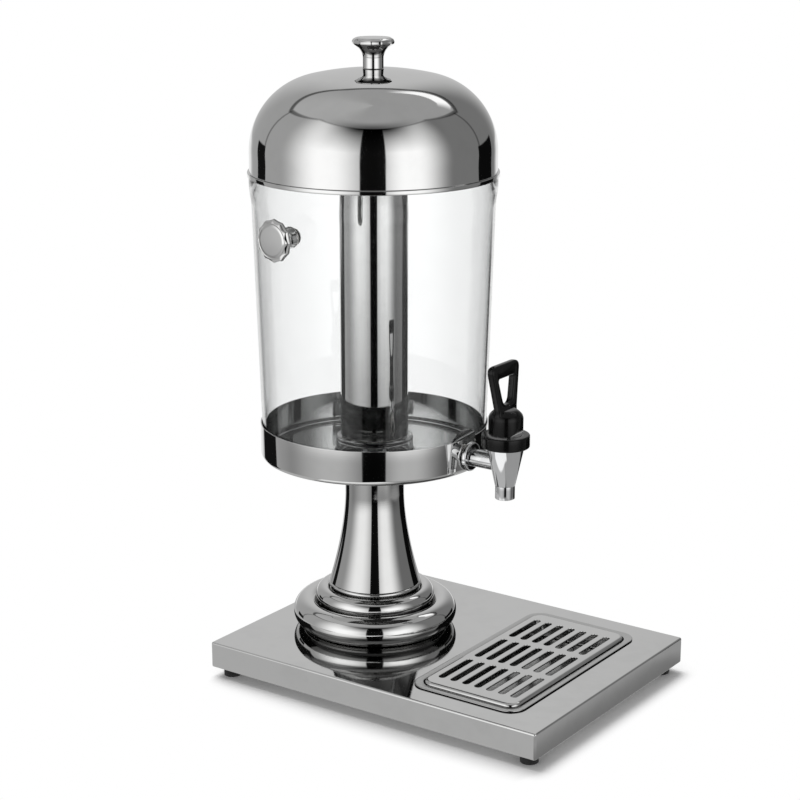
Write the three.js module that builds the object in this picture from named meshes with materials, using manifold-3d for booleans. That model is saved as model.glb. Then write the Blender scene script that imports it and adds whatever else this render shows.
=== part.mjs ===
// Counter-top syrup dispenser: clear tank with an ice tube, domed lid, lever faucet, pedestal and drip tray.
// All sizes are in millimetres. Z points up, and the column's axis is the local x = 0, y = 0 while building.
// The finished model stands on z = 0 with the middle of its bounding box over the origin.

import * as THREE from 'three';
import { mergeVertices } from 'three/addons/utils/BufferGeometryUtils.js';
import Module from 'manifold-3d';

const wasm = await Module();
wasm.setup();

// Shared fits
const gap = 0.3;
const cutOverrun = 6;
const mergeDistance = 0.0001;

// How finely round forms are divided
const largeSegments = 40;
const mediumSegments = 32;
const smallSegments = 16;
const tinySegments = 12;
const cornerSteps = 2;
const bendSteps = 3;
const ringSteps = 7;

// Base box, folded from sheet
const baseLength = 350;
const baseWidth = 260;
const baseHeight = 24;
const baseSheet = 1.2;
const baseCorner = 2.5;
const baseReturn = 24;
const columnInset = 93;

// Rubber feet and their screws
const footHeight = 9;
const footRadius = 8;
const footTopRadius = 7.3;
const footInset = 14;
const footRecessRadius = 4.6;
const footRecessDepth = 4.2;
const footScrewRadius = 2;
const footScrewHeadRadius = 3.9;
const footScrewHeadHeight = 2.4;
const footScrewTail = 1;
const footNutRadius = 4.2;
const footNutHeight = 3;

// Drip tray: a flange on the base's top, a ledge for the grille and a well below it
const trayCentre = 167.6;
const trayFlangeWidth = 112;
const trayFlangeLength = 214;
const trayFlangeCorner = 16;
const traySheet = 1;
const trayMouthWidth = 101;
const trayMouthLength = 200;
const trayMouthCorner = 13;
const trayLedgeWidth = 3.5;
const trayLedgeDepth = 6;
const trayDepth = 18;
const trayClearance = 0.5;

// Slotted grille: a raised panel with a turned-down skirt and rows of round-ended slots
const grilleRise = 3.6;
const grilleSheet = 1.2;
const grilleEdge = 1.6;
const grilleClearance = 1.6;
const slotWidth = 6.4;
const slotLength = 50;
const slotPitch = 12.4;
const slotRowPitch = 58;
const slotsPerRow = 7;
const slotRows = 3;

// Stiffener under the column
const backingSize = 110;
const backingThickness = 2;

// Pedestal: two spun rings, a lip ring and a trumpet neck
const ringSheet = 1.2;
const lowerRingCircle = 63;
const lowerRingTube = 13.5;
const lowerRingWrap = THREE.MathUtils.degToRad(150);
const lowerRingFlange = 9;
const upperRingCircle = 46.8;
const upperRingTube = 8.8;
const upperRingWrap = THREE.MathUtils.degToRad(140);
const upperRingFlange = 6;
const collarBeadRadius = 43.5;
const collarBeadHeight = 4.1;
const collarBoreRadius = 30;
const collarPlay = 0.45;
const neckFootRadius = 42.3;
const neckTopRadius = 27.4;
const neckFlareHeight = 87;
const neckFlarePower = 1.75;
const neckFlareSteps = 6;
const neckSheet = 1.2;

// Tie rod through the column
const rodRadius = 4;
const rodPlay = 0.5;
const rodNutRadius = 7.5;
const rodNutHeight = 4;
const rodWasherRadius = 11;
const rodWasherThickness = 1.2;
const rodTail = 0.8;

// Cradle that the tank stands in
const cradleLift = 166.5;
const cradleRadius = 104.5;
const cradleHeight = 32;
const cradleSheet = 1;
const cradleCorner = 4;

// Clear tank
const tankHeight = 260;
const tankFootRadius = 102;
const tankTopRadius = 109.4;
const tankWall = 3;
const tankCorner = 6;
const tankInnerCorner = 3;
const tankLipRadius = 111.2;
const tankLipHeight = 19;
const tankLipEase = 1;
const bossRadius = 35.5;
const bossHeight = 16.7;
const faucetPadRadius = 24;
const faucetPadFace = 96.5;

// Ice tube, with a stud welded under its floor
const tubeRadius = 31;
const tubeWall = 1;
const tubeHeight = 234;
const tubeBead = 1.1;
const tubeStudRadius = 3;
const tubeGasketThickness = 1.2;
const tubeGasketRadius = 29;
const tubeGasketBore = 18;
const tubeWasherRadius = 9;
const tubeWasherThickness = 0.8;
const tubeNutRadius = 6;
const tubeNutHeight = 3.2;
const studPlay = 0.4;
const studTail = 0.6;

// Domed lid
const domeRadius = 110.6;
const domeRise = 90.2;
const domeKnuckle = 68;
const domeCrown = 260;
const domeKnuckleSteps = 6;
const domeCrownSteps = 3;
const domeSheet = 1;
const lidLipRadius = 112.5;
const lidLipDrop = 2.8;

// Mushroom knobs on the lid and on the tank's wall
const knobHeadRadius = 19.1;
const knobFaceRadius = 14.5;
const knobStemRadius = 9.3;
const knobShoulderRadius = 12.6;
const knobRimHeight = 1.6;
const knobBevelHeight = 3.2;
const knobUnderHeight = 4.4;
const knobFlareHeight = 5.6;
const knobUnderShare = 0.38;
const knobBevelShare = 0.72;
const lidKnobHeight = 26.5;
const sideKnobReach = 23.4;
const sideKnobShare = 0.834;
const sideKnobTurn = THREE.MathUtils.degToRad(-94.7);
const knobScrewRadius = 2.3;
const knobScrewDepth = 12;
const knobScrewPlay = 0.4;
const knobScrewHeadRadius = 5;
const knobScrewHeadHeight = 2.6;
const knobScrewFaceRadius = 3.6;
const knobScrewDomeHeight = 1;
const knobWasherRadius = 7.5;
const knobWasherThickness = 1.2;
const knobGasketThickness = 1;

// Faucet: its axis stands beyond the cradle, and its shank runs through the tank's wall
const faucetReach = 142.5;
const shankLift = 13.5;
const shankRadius = 8.2;
const shankBore = 4;
const shankThreadRadius = 6;
const shankThreadEnd = 84;
const shankPlay = 0.4;
const gasketRadius = 10.3;
const gasketThickness = 2;
const escutcheonRadius = 13.2;
const escutcheonThickness = 3.4;
const escutcheonEase = 1.4;
const innerWasherRadius = 10;
const innerWasherThickness = 1.5;
const innerNutRadius = 10;
const innerNutHeight = 7;
const bodyTopLift = 15.4;
const bodyTopRadius = 16.8;
const bodyFootDrop = 19.8;
const bodyFootRadius = 9.2;
const outletRadius = 8.9;
const outletDrop = 32;
const outletBore = 5.2;
const chamberTopRadius = 12;
const chamberFootRadius = 7;
const chamberFootDrop = 11;
const seatDrop = 14;

// Bonnet, stem, seat cup and spring
const bonnetRadius = 21.5;
const bonnetHeight = 11.6;
const bonnetEase = 1.4;
const bonnetSpigotRadius = 11;
const bonnetSpigotDepth = 3;
const stemRadius = 3;
const stemPlay = 0.35;
const stemFootDrop = 9;
const stemFlangeRadius = 6.4;
const stemFlangeTopDrop = 3.2;
const stemFlangeHeight = 1.5;
const tongueWidth = 6.4;
const tongueThickness = 5.6;
const tongueRise = 3.4;
const cupRadius = 6.4;
const cupTipRadius = 4.9;
const cupConeHeight = 2.5;
const cupTipDrop = 13.6;
const springWire = 0.6;
const springRadius = 5.8;
const springTurns = 5;
const springStepsPerTurn = 8;
const springSides = 5;

// Lever handle: a round hub that rolls on the bonnet, and a blade with a tapered window
const hubRadius = 15.5;
const hubHeel = 8.05;
const hubHeight = 17;
const hubCrownHeight = 5.3;
const hubCrownRadius = 10;
const pinHeight = 8;
const pinRadius = 1.5;
const pinPlay = 0.08;
const pinBlindEnd = 13;
const pinOpenEnd = 14.7;
const hubSlotWidth = 6.4;
const hubSlotHalf = 5;
const hubSlotTop = 5;
const hubSlotSlant = 5.3;
const bladeThickness = 7.2;
const bladeEdge = 0.8;
const bladeFootLift = 14.4;
const bladeTopLift = 63.6;
const bladeWaistWidth = 29;
const bladeTopWidth = 46;
const bladeCorner = 5.5;
const bladeLean = THREE.MathUtils.degToRad(-4.5);
const windowFootLift = 27;
const windowTopLift = 51.2;
const windowFootWidth = 13;
const windowTopWidth = 25.5;
const windowCorner = 3;

// Heights that the pieces share
const baseTop = footHeight + baseHeight;
const baseMiddle = baseLength / 2 - columnInset;
const lowerRingCentre = baseTop + gap + lowerRingTube;
const lowerWebTop = lowerRingCentre + lowerRingTube * Math.sin(lowerRingWrap);
const upperRingCentre = lowerWebTop + gap + upperRingTube;
const upperWebTop = upperRingCentre + upperRingTube * Math.sin(upperRingWrap);
const collarBeadFoot = upperRingCentre + upperRingTube + collarPlay;
const collarTop = collarBeadFoot + collarBeadHeight;
const neckFoot = collarTop + gap;
const cradleFoot = baseTop + cradleLift;
const neckTop = cradleFoot - gap;
const cradleFloor = cradleFoot + cradleSheet;
const tankFoot = cradleFloor + gap;
const tankFloor = tankFoot + tankWall;
const tankTop = tankFoot + tankHeight;
const tankLipFoot = tankTop - tankLipHeight;
const bossTop = tankFoot + bossHeight;
const bossUnderside = bossTop - tankWall;
const tubeGasketFoot = bossTop + gap;
const tubeFoot = tubeGasketFoot + tubeGasketThickness + gap;
const lidSeat = tankTop + gap;
const domeFoot = lidSeat + domeSheet;
const domeTop = domeFoot + domeRise;
const shankAxis = tankFoot + shankLift;
const bodyTop = shankAxis + bodyTopLift;
const bonnetFoot = bodyTop + gap;
const bonnetTop = bonnetFoot + bonnetHeight;
const hubFoot = bonnetTop + gap;
const pinAxis = hubFoot + pinHeight;
const tankSlope = (tankTopRadius - tankFootRadius) / (tankLipFoot - tankFoot);

// Outer radius of the tank's wall at a height
function tankRadiusAt(height) {
  return tankFootRadius + tankSlope * (height - tankFoot);
}

// Height on the faucet's axis from a lift above the shank's axis
function faucetHeight(lift) {
  return shankAxis + lift;
}

// Holes that loose fasteners pass through
const footHoleRadius = footScrewRadius + gap;
const rodHoleRadius = rodRadius + rodPlay;
const studHoleRadius = tubeStudRadius + studPlay;
const knobHoleRadius = knobScrewRadius + knobScrewPlay;
const shankHoleRadius = shankThreadRadius + shankPlay;

// Seats of the tie rod's washers and nuts, and of the ice tube's
const rodSeatLow = baseTop - baseSheet - 2 * gap - backingThickness;
const rodNutLowTop = rodSeatLow - rodWasherThickness - gap;
const rodSeatTop = cradleFloor + gap;
const rodNutTopFoot = rodSeatTop + rodWasherThickness + gap;
const tubeWasherTop = bossUnderside - gap;
const tubeNutTop = tubeWasherTop - tubeWasherThickness - gap;

// Seats of the two knobs, their washers and their screws
const lidKnobFoot = domeTop + gap;
const lidWasherTop = domeTop - domeSheet - gap;
const lidScrewHeadTop = lidWasherTop - knobWasherThickness - gap;
const sideKnobHeight = tankFoot + tankHeight * sideKnobShare;
const sideWallOuter = tankRadiusAt(sideKnobHeight);
const sideGasketFoot = sideWallOuter + tankSlope * knobStemRadius + gap;
const sideKnobFoot = sideGasketFoot + knobGasketThickness + gap;
const sideWasherTop = sideWallOuter - tankWall - 2 * gap - tankSlope * knobWasherRadius;
const sideScrewHeadTop = sideWasherTop - knobWasherThickness - gap;

// Stack on the shank, from outside to inside the tank's wall, and the spring's two seats
const gasketFoot = tankRadiusAt(shankAxis) + gap;
const escutcheonFoot = cradleRadius + gap;
const innerWasherFace = faucetPadFace - gap;
const innerNutFace = innerWasherFace - innerWasherThickness - gap;
const springFoot = faucetHeight(-stemFlangeTopDrop) + gap;
const springTop = bonnetFoot - bonnetSpigotDepth - gap;

// Points of an arc in a profile, from one angle to another
function arc(centreX, centreY, radius, from, to, steps) {
  const points = [];
  for (let step = 0; step <= steps; step += 1) {
    const angle = from + ((to - from) * step) / steps;
    points.push([centreX + radius * Math.cos(angle), centreY + radius * Math.sin(angle)]);
  }
  return points;
}

// Signed volume of an indexed triangle list, negative when its faces point inward
function signedVolume(positions, indices) {
  const a = new THREE.Vector3();
  const b = new THREE.Vector3();
  const c = new THREE.Vector3();
  let total = 0;
  for (let i = 0; i < indices.length; i += 3) {
    a.fromArray(positions, indices[i] * 3);
    b.fromArray(positions, indices[i + 1] * 3);
    c.fromArray(positions, indices[i + 2] * 3);
    total += a.dot(b.cross(c)) / 6;
  }
  return total;
}

// Closed solid from a geometry: shared vertices are merged and the faces are turned outward
function solidOf(geometry) {
  const bare = new THREE.BufferGeometry();
  bare.setAttribute('position', geometry.getAttribute('position'));
  bare.setIndex(geometry.index);
  const merged = mergeVertices(bare, mergeDistance);
  const positions = merged.getAttribute('position').array;
  const source = merged.index.array;
  const indices = [];
  for (let i = 0; i < source.length; i += 3) {
    const [a, b, c] = [source[i], source[i + 1], source[i + 2]];
    if (a !== b && b !== c && c !== a) indices.push(a, b, c);
  }
  if (signedVolume(positions, indices) < 0) indices.reverse();
  const mesh = new wasm.Mesh({
    numProp: 3,
    vertProperties: new Float32Array(positions),
    triVerts: new Uint32Array(indices),
  });
  return new wasm.Manifold(mesh);
}

// Geometry for the scene from a finished solid
function geometryOf(solid) {
  const mesh = solid.getMesh();
  const geometry = new THREE.BufferGeometry();
  geometry.setAttribute('position', new THREE.BufferAttribute(mesh.vertProperties, 3));
  geometry.setIndex(new THREE.BufferAttribute(mesh.triVerts, 1));
  geometry.computeVertexNormals();
  return geometry;
}

// A profile of [radius, height] points turned round the Z axis; one that stays off the axis is closed first
function turned(profile, segments) {
  const points = profile.map(([radius, height]) => new THREE.Vector2(radius, height));
  const onAxis = profile[0][0] === 0 && profile[profile.length - 1][0] === 0;
  if (!onAxis) points.push(points[0].clone());
  const geometry = new THREE.LatheGeometry(points, segments);
  geometry.rotateX(Math.PI / 2);
  return solidOf(geometry);
}

// A flat outline raised from one height to another
function raised(shape, bottom, top, curveSegments = cornerSteps) {
  const depth = top - bottom;
  const geometry = new THREE.ExtrudeGeometry(shape, { depth, bevelEnabled: false, curveSegments });
  geometry.translate(0, 0, bottom);
  return solidOf(geometry);
}

// Rectangle with round corners, centred on a point
function roundRectangle(width, length, radius, centreX = 0, centreY = 0) {
  const x = width / 2 - radius;
  const y = length / 2 - radius;
  const quarter = Math.PI / 2;
  const shape = new THREE.Shape();
  shape.absarc(centreX + x, centreY + y, radius, 0, quarter, false);
  shape.absarc(centreX - x, centreY + y, radius, quarter, 2 * quarter, false);
  shape.absarc(centreX - x, centreY - y, radius, 2 * quarter, 3 * quarter, false);
  shape.absarc(centreX + x, centreY - y, radius, 3 * quarter, 4 * quarter, false);
  shape.closePath();
  return shape;
}

// Upright cylinder about a vertical line
function post(centreX, centreY, radius, bottom, top, segments = smallSegments) {
  const column = turned([[0, bottom], [radius, bottom], [radius, top], [0, top]], segments);
  return column.translate([centreX, centreY, 0]);
}

// Flat ring about the Z axis
function washer(bore, radius, bottom, top, segments = smallSegments) {
  return turned([[bore, bottom], [radius, bottom], [radius, top], [bore, top]], segments);
}

// Hexagon nut about the Z axis, with a plain bore
function hexNut(bore, radius, bottom, top) {
  const sides = 6;
  const block = turned([[0, bottom], [radius, bottom], [radius, top], [0, top]], sides);
  return block.subtract(post(0, 0, bore, bottom - cutOverrun, top + cutOverrun, tinySegments));
}

// A solid built about Z is laid along +X, its height becoming its distance from the axis
function laidAlongX(solid) {
  return solid.rotate([0, 90, 0]);
}

// A solid built along +X is turned to the side knob's direction
function turnedToSideKnob(solid) {
  return solid.rotate([0, 0, THREE.MathUtils.radToDeg(sideKnobTurn)]);
}

const dispenser = new THREE.Group();
const assembly = new THREE.Group();
dispenser.add(assembly);

// Adds one named piece with its own material
function addPiece(name, solid, finish) {
  const mesh = new THREE.Mesh(geometryOf(solid), new THREE.MeshStandardMaterial(finish));
  mesh.name = name;
  assembly.add(mesh);
  return mesh;
}

// Finishes: colour, roughness and metalness
const polishedSteel = { color: 0xd4d4d2, roughness: 0.08, metalness: 1 };
const satinSteel = { color: 0xb9b9b7, roughness: 0.28, metalness: 1 };
const chrome = { color: 0xe2e3e4, roughness: 0.04, metalness: 1 };
const zincSteel = { color: 0x9b9c9e, roughness: 0.4, metalness: 1 };
const clearPlastic = { color: 0xf4f6f6, roughness: 0.05, metalness: 0, transparent: true, opacity: 0.3 };
const blackPlastic = { color: 0x121212, roughness: 0.22, metalness: 0 };
const blackRubber = { color: 0x1c1c1c, roughness: 0.8, metalness: 0 };
const paleSilicone = { color: 0xd9d7d0, roughness: 0.6, metalness: 0 };

// Middle points of the four feet
function footPlaces() {
  const reachX = baseLength / 2 - footInset;
  const reachY = baseWidth / 2 - footInset;
  const places = [];
  for (const sideX of [-1, 1]) {
    for (const sideY of [-1, 1]) places.push([baseMiddle + sideX * reachX, sideY * reachY]);
  }
  return places;
}

// Folded base box: open below inside the return lip, cut out for the tray, the rod and the foot screws
function makeBasePlate() {
  const outline = roundRectangle(baseLength, baseWidth, baseCorner, baseMiddle);
  const innerCorner = baseCorner - baseSheet;
  const inside = roundRectangle(
    baseLength - 2 * baseSheet, baseWidth - 2 * baseSheet, innerCorner, baseMiddle);
  const mouth = roundRectangle(
    baseLength - 2 * baseReturn, baseWidth - 2 * baseReturn, baseCorner, baseMiddle);
  const trayHole = roundRectangle(
    trayMouthWidth + 2 * (traySheet + trayClearance),
    trayMouthLength + 2 * (traySheet + trayClearance),
    trayMouthCorner + traySheet + trayClearance,
    trayCentre);
  let solid = raised(outline, footHeight, baseTop);
  solid = solid.subtract(raised(inside, footHeight + baseSheet, baseTop - baseSheet));
  solid = solid.subtract(raised(mouth, footHeight - cutOverrun, baseTop - baseHeight / 2));
  solid = solid.subtract(raised(trayHole, baseTop - baseHeight / 2, baseTop + cutOverrun));
  const rodHole = post(
    0, 0, rodHoleRadius, baseTop - baseHeight / 2, baseTop + cutOverrun, tinySegments);
  solid = solid.subtract(rodHole);
  for (const [x, y] of footPlaces()) {
    const hole = post(x, y, footHoleRadius, footHeight - cutOverrun, footHeight + cutOverrun, tinySegments);
    solid = solid.subtract(hole);
  }
  return solid;
}

// Rubber foot with a recess that hides its screw's head
function makeFoot() {
  const top = footHeight - gap;
  return turned([
    [footRecessRadius, 0],
    [footRadius, 0],
    [footRadius, footRecessDepth],
    [footTopRadius, top],
    [footHoleRadius, top],
    [footHoleRadius, footRecessDepth],
    [footRecessRadius, footRecessDepth],
  ], smallSegments);
}

// Pan-head screw of a foot, pointing up
function makeFootScrew() {
  const headTop = footRecessDepth - gap;
  const headFoot = headTop - footScrewHeadHeight;
  const tip = footHeight + baseSheet + 2 * gap + footNutHeight + footScrewTail;
  return turned([
    [0, headFoot],
    [footScrewHeadRadius / 2, headFoot],
    [footScrewHeadRadius, headFoot + footScrewHeadHeight / 2],
    [footScrewHeadRadius, headTop],
    [footScrewRadius, headTop],
    [footScrewRadius, tip],
    [0, tip],
  ], tinySegments);
}

function makeFootNut() {
  const bottom = footHeight + baseSheet + gap;
  return hexNut(footHoleRadius, footNutRadius, bottom, bottom + footNutHeight);
}

// Stiffener below the top sheet, where the column stands
function makeBackingPlate() {
  const top = baseTop - baseSheet - gap;
  const plate = raised(roundRectangle(backingSize, backingSize, baseCorner), top - backingThickness, top);
  return plate.subtract(post(0, 0, rodHoleRadius, top - cutOverrun, top + cutOverrun, tinySegments));
}

// Pressed tray: flange, mouth, ledge and well
function makeDripTray() {
  const flangeFoot = baseTop + gap;
  const flangeTop = flangeFoot + traySheet;
  const ledgeTop = baseTop - trayLedgeDepth;
  const wellFoot = baseTop - trayDepth;
  const wellWidth = trayMouthWidth - 2 * trayLedgeWidth;
  const wellLength = trayMouthLength - 2 * trayLedgeWidth;
  const wellCorner = trayMouthCorner - trayLedgeWidth;
  const skin = 2 * traySheet;
  const block = (width, length, corner) => roundRectangle(width, length, corner, trayCentre);
  const flange = raised(block(trayFlangeWidth, trayFlangeLength, trayFlangeCorner), flangeFoot, flangeTop);
  const upper = raised(
    block(trayMouthWidth + skin, trayMouthLength + skin, trayMouthCorner + traySheet),
    ledgeTop - traySheet, flangeTop);
  const lower = raised(
    block(wellWidth + skin, wellLength + skin, wellCorner + traySheet), wellFoot, ledgeTop);
  const mouth = raised(
    block(trayMouthWidth, trayMouthLength, trayMouthCorner), ledgeTop, flangeTop + cutOverrun);
  const well = raised(block(wellWidth, wellLength, wellCorner), wellFoot + traySheet, ledgeTop + traySheet);
  return flange.add(upper).add(lower).subtract(mouth).subtract(well);
}

// One round-ended slot, with its long side along Y
function slotOutline(x, y) {
  const radius = slotWidth / 2;
  const straight = slotLength / 2 - radius;
  const shape = new THREE.Shape();
  shape.absarc(x, y + straight, radius, 0, Math.PI, false);
  shape.absarc(x, y - straight, radius, Math.PI, 2 * Math.PI, false);
  shape.closePath();
  return shape;
}

// Raised panel with an eased edge, a skirt that stands on the tray's ledge, and rows of slots
function makeDripGrille() {
  const top = baseTop + grilleRise;
  const skirtFoot = baseTop - trayLedgeDepth + gap;
  const width = trayMouthWidth - 2 * grilleClearance;
  const length = trayMouthLength - 2 * grilleClearance;
  const corner = trayMouthCorner - grilleClearance;
  const outline = roundRectangle(width, length, corner, trayCentre);
  const eased = new THREE.ExtrudeGeometry(outline, {
    depth: top - skirtFoot,
    bevelEnabled: true,
    bevelThickness: grilleEdge,
    bevelSize: grilleEdge,
    bevelOffset: -grilleEdge,
    bevelSegments: cornerSteps,
    curveSegments: cornerSteps,
  });
  eased.translate(0, 0, skirtFoot - grilleEdge);
  const below = raised(roundRectangle(width + cutOverrun, length + cutOverrun, corner, trayCentre),
    skirtFoot - cutOverrun, skirtFoot);
  const hollow = roundRectangle(
    width - 2 * grilleSheet, length - 2 * grilleSheet, corner - grilleSheet, trayCentre);
  let panel = solidOf(eased).subtract(below);
  panel = panel.subtract(raised(hollow, skirtFoot - cutOverrun, top - grilleSheet));
  const slots = [];
  for (let row = 0; row < slotRows; row += 1) {
    const y = (row - (slotRows - 1) / 2) * slotRowPitch;
    for (let index = 0; index < slotsPerRow; index += 1) {
      const x = trayCentre + (index - (slotsPerRow - 1) / 2) * slotPitch;
      slots.push(raised(slotOutline(x, y), top - grilleSheet - cutOverrun / 2, top + cutOverrun));
    }
  }
  return panel.subtract(wasm.Manifold.union(slots));
}

// Hollow ring spun from sheet: a flange below, the round wall, and a web that runs in to the rod
function makeSpunRing(circle, tube, centre, wrap, flange, segments) {
  const inner = tube - ringSheet;
  const down = -Math.PI / 2;
  const webTop = centre + tube * Math.sin(wrap);
  const innerWrap = Math.PI - Math.asin((webTop - ringSheet - centre) / inner);
  return turned([
    [circle - flange, centre - tube],
    ...arc(circle, centre, tube, down, wrap, ringSteps),
    [rodHoleRadius, webTop],
    [rodHoleRadius, webTop - ringSheet],
    ...arc(circle, centre, inner, innerWrap, down, ringSteps),
    [circle - flange, centre - inner],
  ], segments);
}

// Small lip ring: a spigot inside the upper ring, and a round bead under the neck
function makePedestalCollar() {
  const foot = upperWebTop + gap;
  const spigot = upperRingCircle + upperRingTube * Math.cos(upperRingWrap) - gap;
  const bead = collarBeadHeight / 2;
  const beadCircle = collarBeadRadius - bead;
  return turned([
    [collarBoreRadius, foot],
    [spigot, foot],
    [spigot, collarBeadFoot],
    ...arc(beadCircle, collarBeadFoot + bead, bead, -Math.PI / 2, Math.PI / 2, bendSteps),
    [collarBoreRadius, collarTop],
  ], mediumSegments);
}

// Outer radius of the neck at a height: a flare that fades into a straight tube
function neckRadiusAt(height) {
  const share = Math.max(0, 1 - (height - neckFoot) / neckFlareHeight);
  return neckTopRadius + (neckFootRadius - neckTopRadius) * share ** neckFlarePower;
}

// Trumpet neck with a closed top that the cradle sits on
function makePedestalNeck() {
  const outer = [];
  for (let step = 0; step <= neckFlareSteps; step += 1) {
    const height = neckFoot + (neckFlareHeight * step) / neckFlareSteps;
    outer.push([neckRadiusAt(height), height]);
  }
  const inner = outer.map(([radius, height]) => [radius - neckSheet, height]).reverse();
  return turned([
    ...outer,
    [neckTopRadius, neckTop],
    [rodHoleRadius, neckTop],
    [rodHoleRadius, neckTop - neckSheet],
    [neckTopRadius - neckSheet, neckTop - neckSheet],
    ...inner,
  ], mediumSegments);
}

// Tie rod that clamps the base, the rings, the neck and the cradle together
function makeColumnRod() {
  const bottom = rodNutLowTop - rodNutHeight - rodTail;
  return post(0, 0, rodRadius, bottom, rodNutTopFoot + rodNutHeight + rodTail);
}

// Shallow round pan with a round-bottomed notch for the faucet's gasket
function makeTankCradle() {
  const inner = cradleCorner - cradleSheet;
  const top = cradleFoot + cradleHeight;
  const corner = cradleRadius - cradleCorner;
  const cornerHeight = cradleFoot + cradleCorner;
  const down = -Math.PI / 2;
  const pan = turned([
    [rodHoleRadius, cradleFoot],
    ...arc(corner, cornerHeight, cradleCorner, down, 0, bendSteps),
    [cradleRadius, top],
    [cradleRadius - cradleSheet, top],
    ...arc(corner, cornerHeight, inner, 0, down, bendSteps),
    [rodHoleRadius, cradleFloor],
  ], largeSegments);
  const notch = gasketRadius + shankPlay;
  const outline = new THREE.Shape();
  outline.absarc(0, 0, notch, Math.PI, 2 * Math.PI, false);
  outline.lineTo(notch, top + cutOverrun - shankAxis);
  outline.lineTo(-notch, top + cutOverrun - shankAxis);
  outline.closePath();
  const cutter = new THREE.ExtrudeGeometry(outline, { depth: 2 * cutOverrun, bevelEnabled: false });
  cutter.applyMatrix4(widthAlongY);
  cutter.translate(cradleRadius - cutOverrun, 0, shankAxis);
  return pan.subtract(solidOf(cutter));
}

// Clear tapered tank: floor with a raised boss, wall, lip band, faucet pad and the two side holes
function makeTank() {
  const down = -Math.PI / 2;
  const cornerHeight = tankFoot + tankCorner;
  const innerCornerHeight = tankFloor + tankInnerCorner;
  const innerRadius = (height) => tankRadiusAt(height) - tankWall;
  const innerCorner = innerRadius(innerCornerHeight) - tankInnerCorner;
  const wallOutline = [
    ...arc(tankRadiusAt(cornerHeight) - tankCorner, cornerHeight, tankCorner, down, 0, bendSteps),
    [tankTopRadius, tankLipFoot],
    [tankLipRadius, tankLipFoot + tankLipEase],
    [tankLipRadius, tankTop - tankLipEase],
    [tankLipRadius - tankLipEase, tankTop],
  ];
  const shell = turned([
    [studHoleRadius, bossUnderside],
    [bossRadius - tankWall, bossUnderside],
    [bossRadius - tankWall, tankFoot],
    ...wallOutline,
    [innerRadius(tankTop), tankTop],
    ...arc(innerCorner, innerCornerHeight, tankInnerCorner, 0, down, cornerSteps),
    [bossRadius, tankFloor],
    [bossRadius, bossTop - tankLipEase],
    [bossRadius - tankLipEase, bossTop],
    [studHoleRadius, bossTop],
  ], largeSegments);
  const envelope = turned([[0, tankFoot], ...wallOutline, [0, tankTop]], largeSegments);
  const padRun = cutOverrun + tankFootRadius;
  const pad = laidAlongX(post(0, 0, faucetPadRadius, faucetPadFace, padRun, mediumSegments))
    .translate([0, 0, shankAxis]).intersect(envelope);
  const shankHole = laidAlongX(
    post(0, 0, shankHoleRadius, faucetPadFace - cutOverrun, padRun + cutOverrun))
    .translate([0, 0, shankAxis]);
  const knobHole = turnedToSideKnob(laidAlongX(
    post(0, 0, knobHoleRadius, sideWallOuter - cutOverrun, sideWallOuter + cutOverrun, tinySegments))
    .translate([0, 0, sideKnobHeight]));
  return shell.add(pad).subtract(shankHole).subtract(knobHole);
}

// Steel tube with a closed floor, a bead round its mouth and a stud that passes through the tank's boss
function makeIceTube() {
  const top = tubeFoot + tubeHeight;
  const studTip = tubeNutTop - tubeNutHeight - studTail;
  const bore = tubeRadius - tubeWall;
  return turned([
    [0, studTip],
    [tubeStudRadius, studTip],
    [tubeStudRadius, tubeFoot],
    [tubeRadius - tubeWall, tubeFoot],
    [tubeRadius, tubeFoot + tubeWall],
    [tubeRadius, top - 2 * tubeBead],
    ...arc(tubeRadius, top - tubeBead, tubeBead, -Math.PI / 2, Math.PI / 2, bendSteps).slice(1),
    [bore, top],
    [bore, tubeFoot + tubeWall],
    [0, tubeFoot + tubeWall],
  ], mediumSegments);
}

// Profile of the dome's outer or inner skin, from the crown's middle down to the wall
function domeSkin(inset) {
  const knuckleCircle = domeRadius - domeKnuckle;
  const crownReach = domeCrown - domeKnuckle;
  const crownCentre = domeTop - domeCrown;
  const knuckleCentre = crownCentre + Math.sqrt(crownReach ** 2 - knuckleCircle ** 2);
  const meet = Math.acos(knuckleCircle / crownReach);
  const start = Math.acos(knobHoleRadius / (domeCrown - inset));
  const crown = arc(0, crownCentre, domeCrown - inset, start, meet, domeCrownSteps);
  const knuckle = arc(knuckleCircle, knuckleCentre, domeKnuckle - inset, meet, 0, domeKnuckleSteps);
  return [...crown, ...knuckle.slice(1)];
}

// Dome with a narrow step and a turned-down lip that holds the tank's rim
function makeLidDome() {
  const lipInner = lidLipRadius - domeSheet;
  return turned([
    ...domeSkin(0),
    [domeRadius, domeFoot + domeSheet / 2],
    [lidLipRadius - domeSheet / 2, domeFoot],
    [lidLipRadius, domeFoot - domeSheet / 2],
    [lidLipRadius, lidSeat - lidLipDrop],
    [lipInner, lidSeat - lidLipDrop],
    [lipInner, lidSeat],
    [domeRadius - domeSheet, lidSeat],
    ...domeSkin(domeSheet).reverse(),
  ], largeSegments);
}

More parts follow.
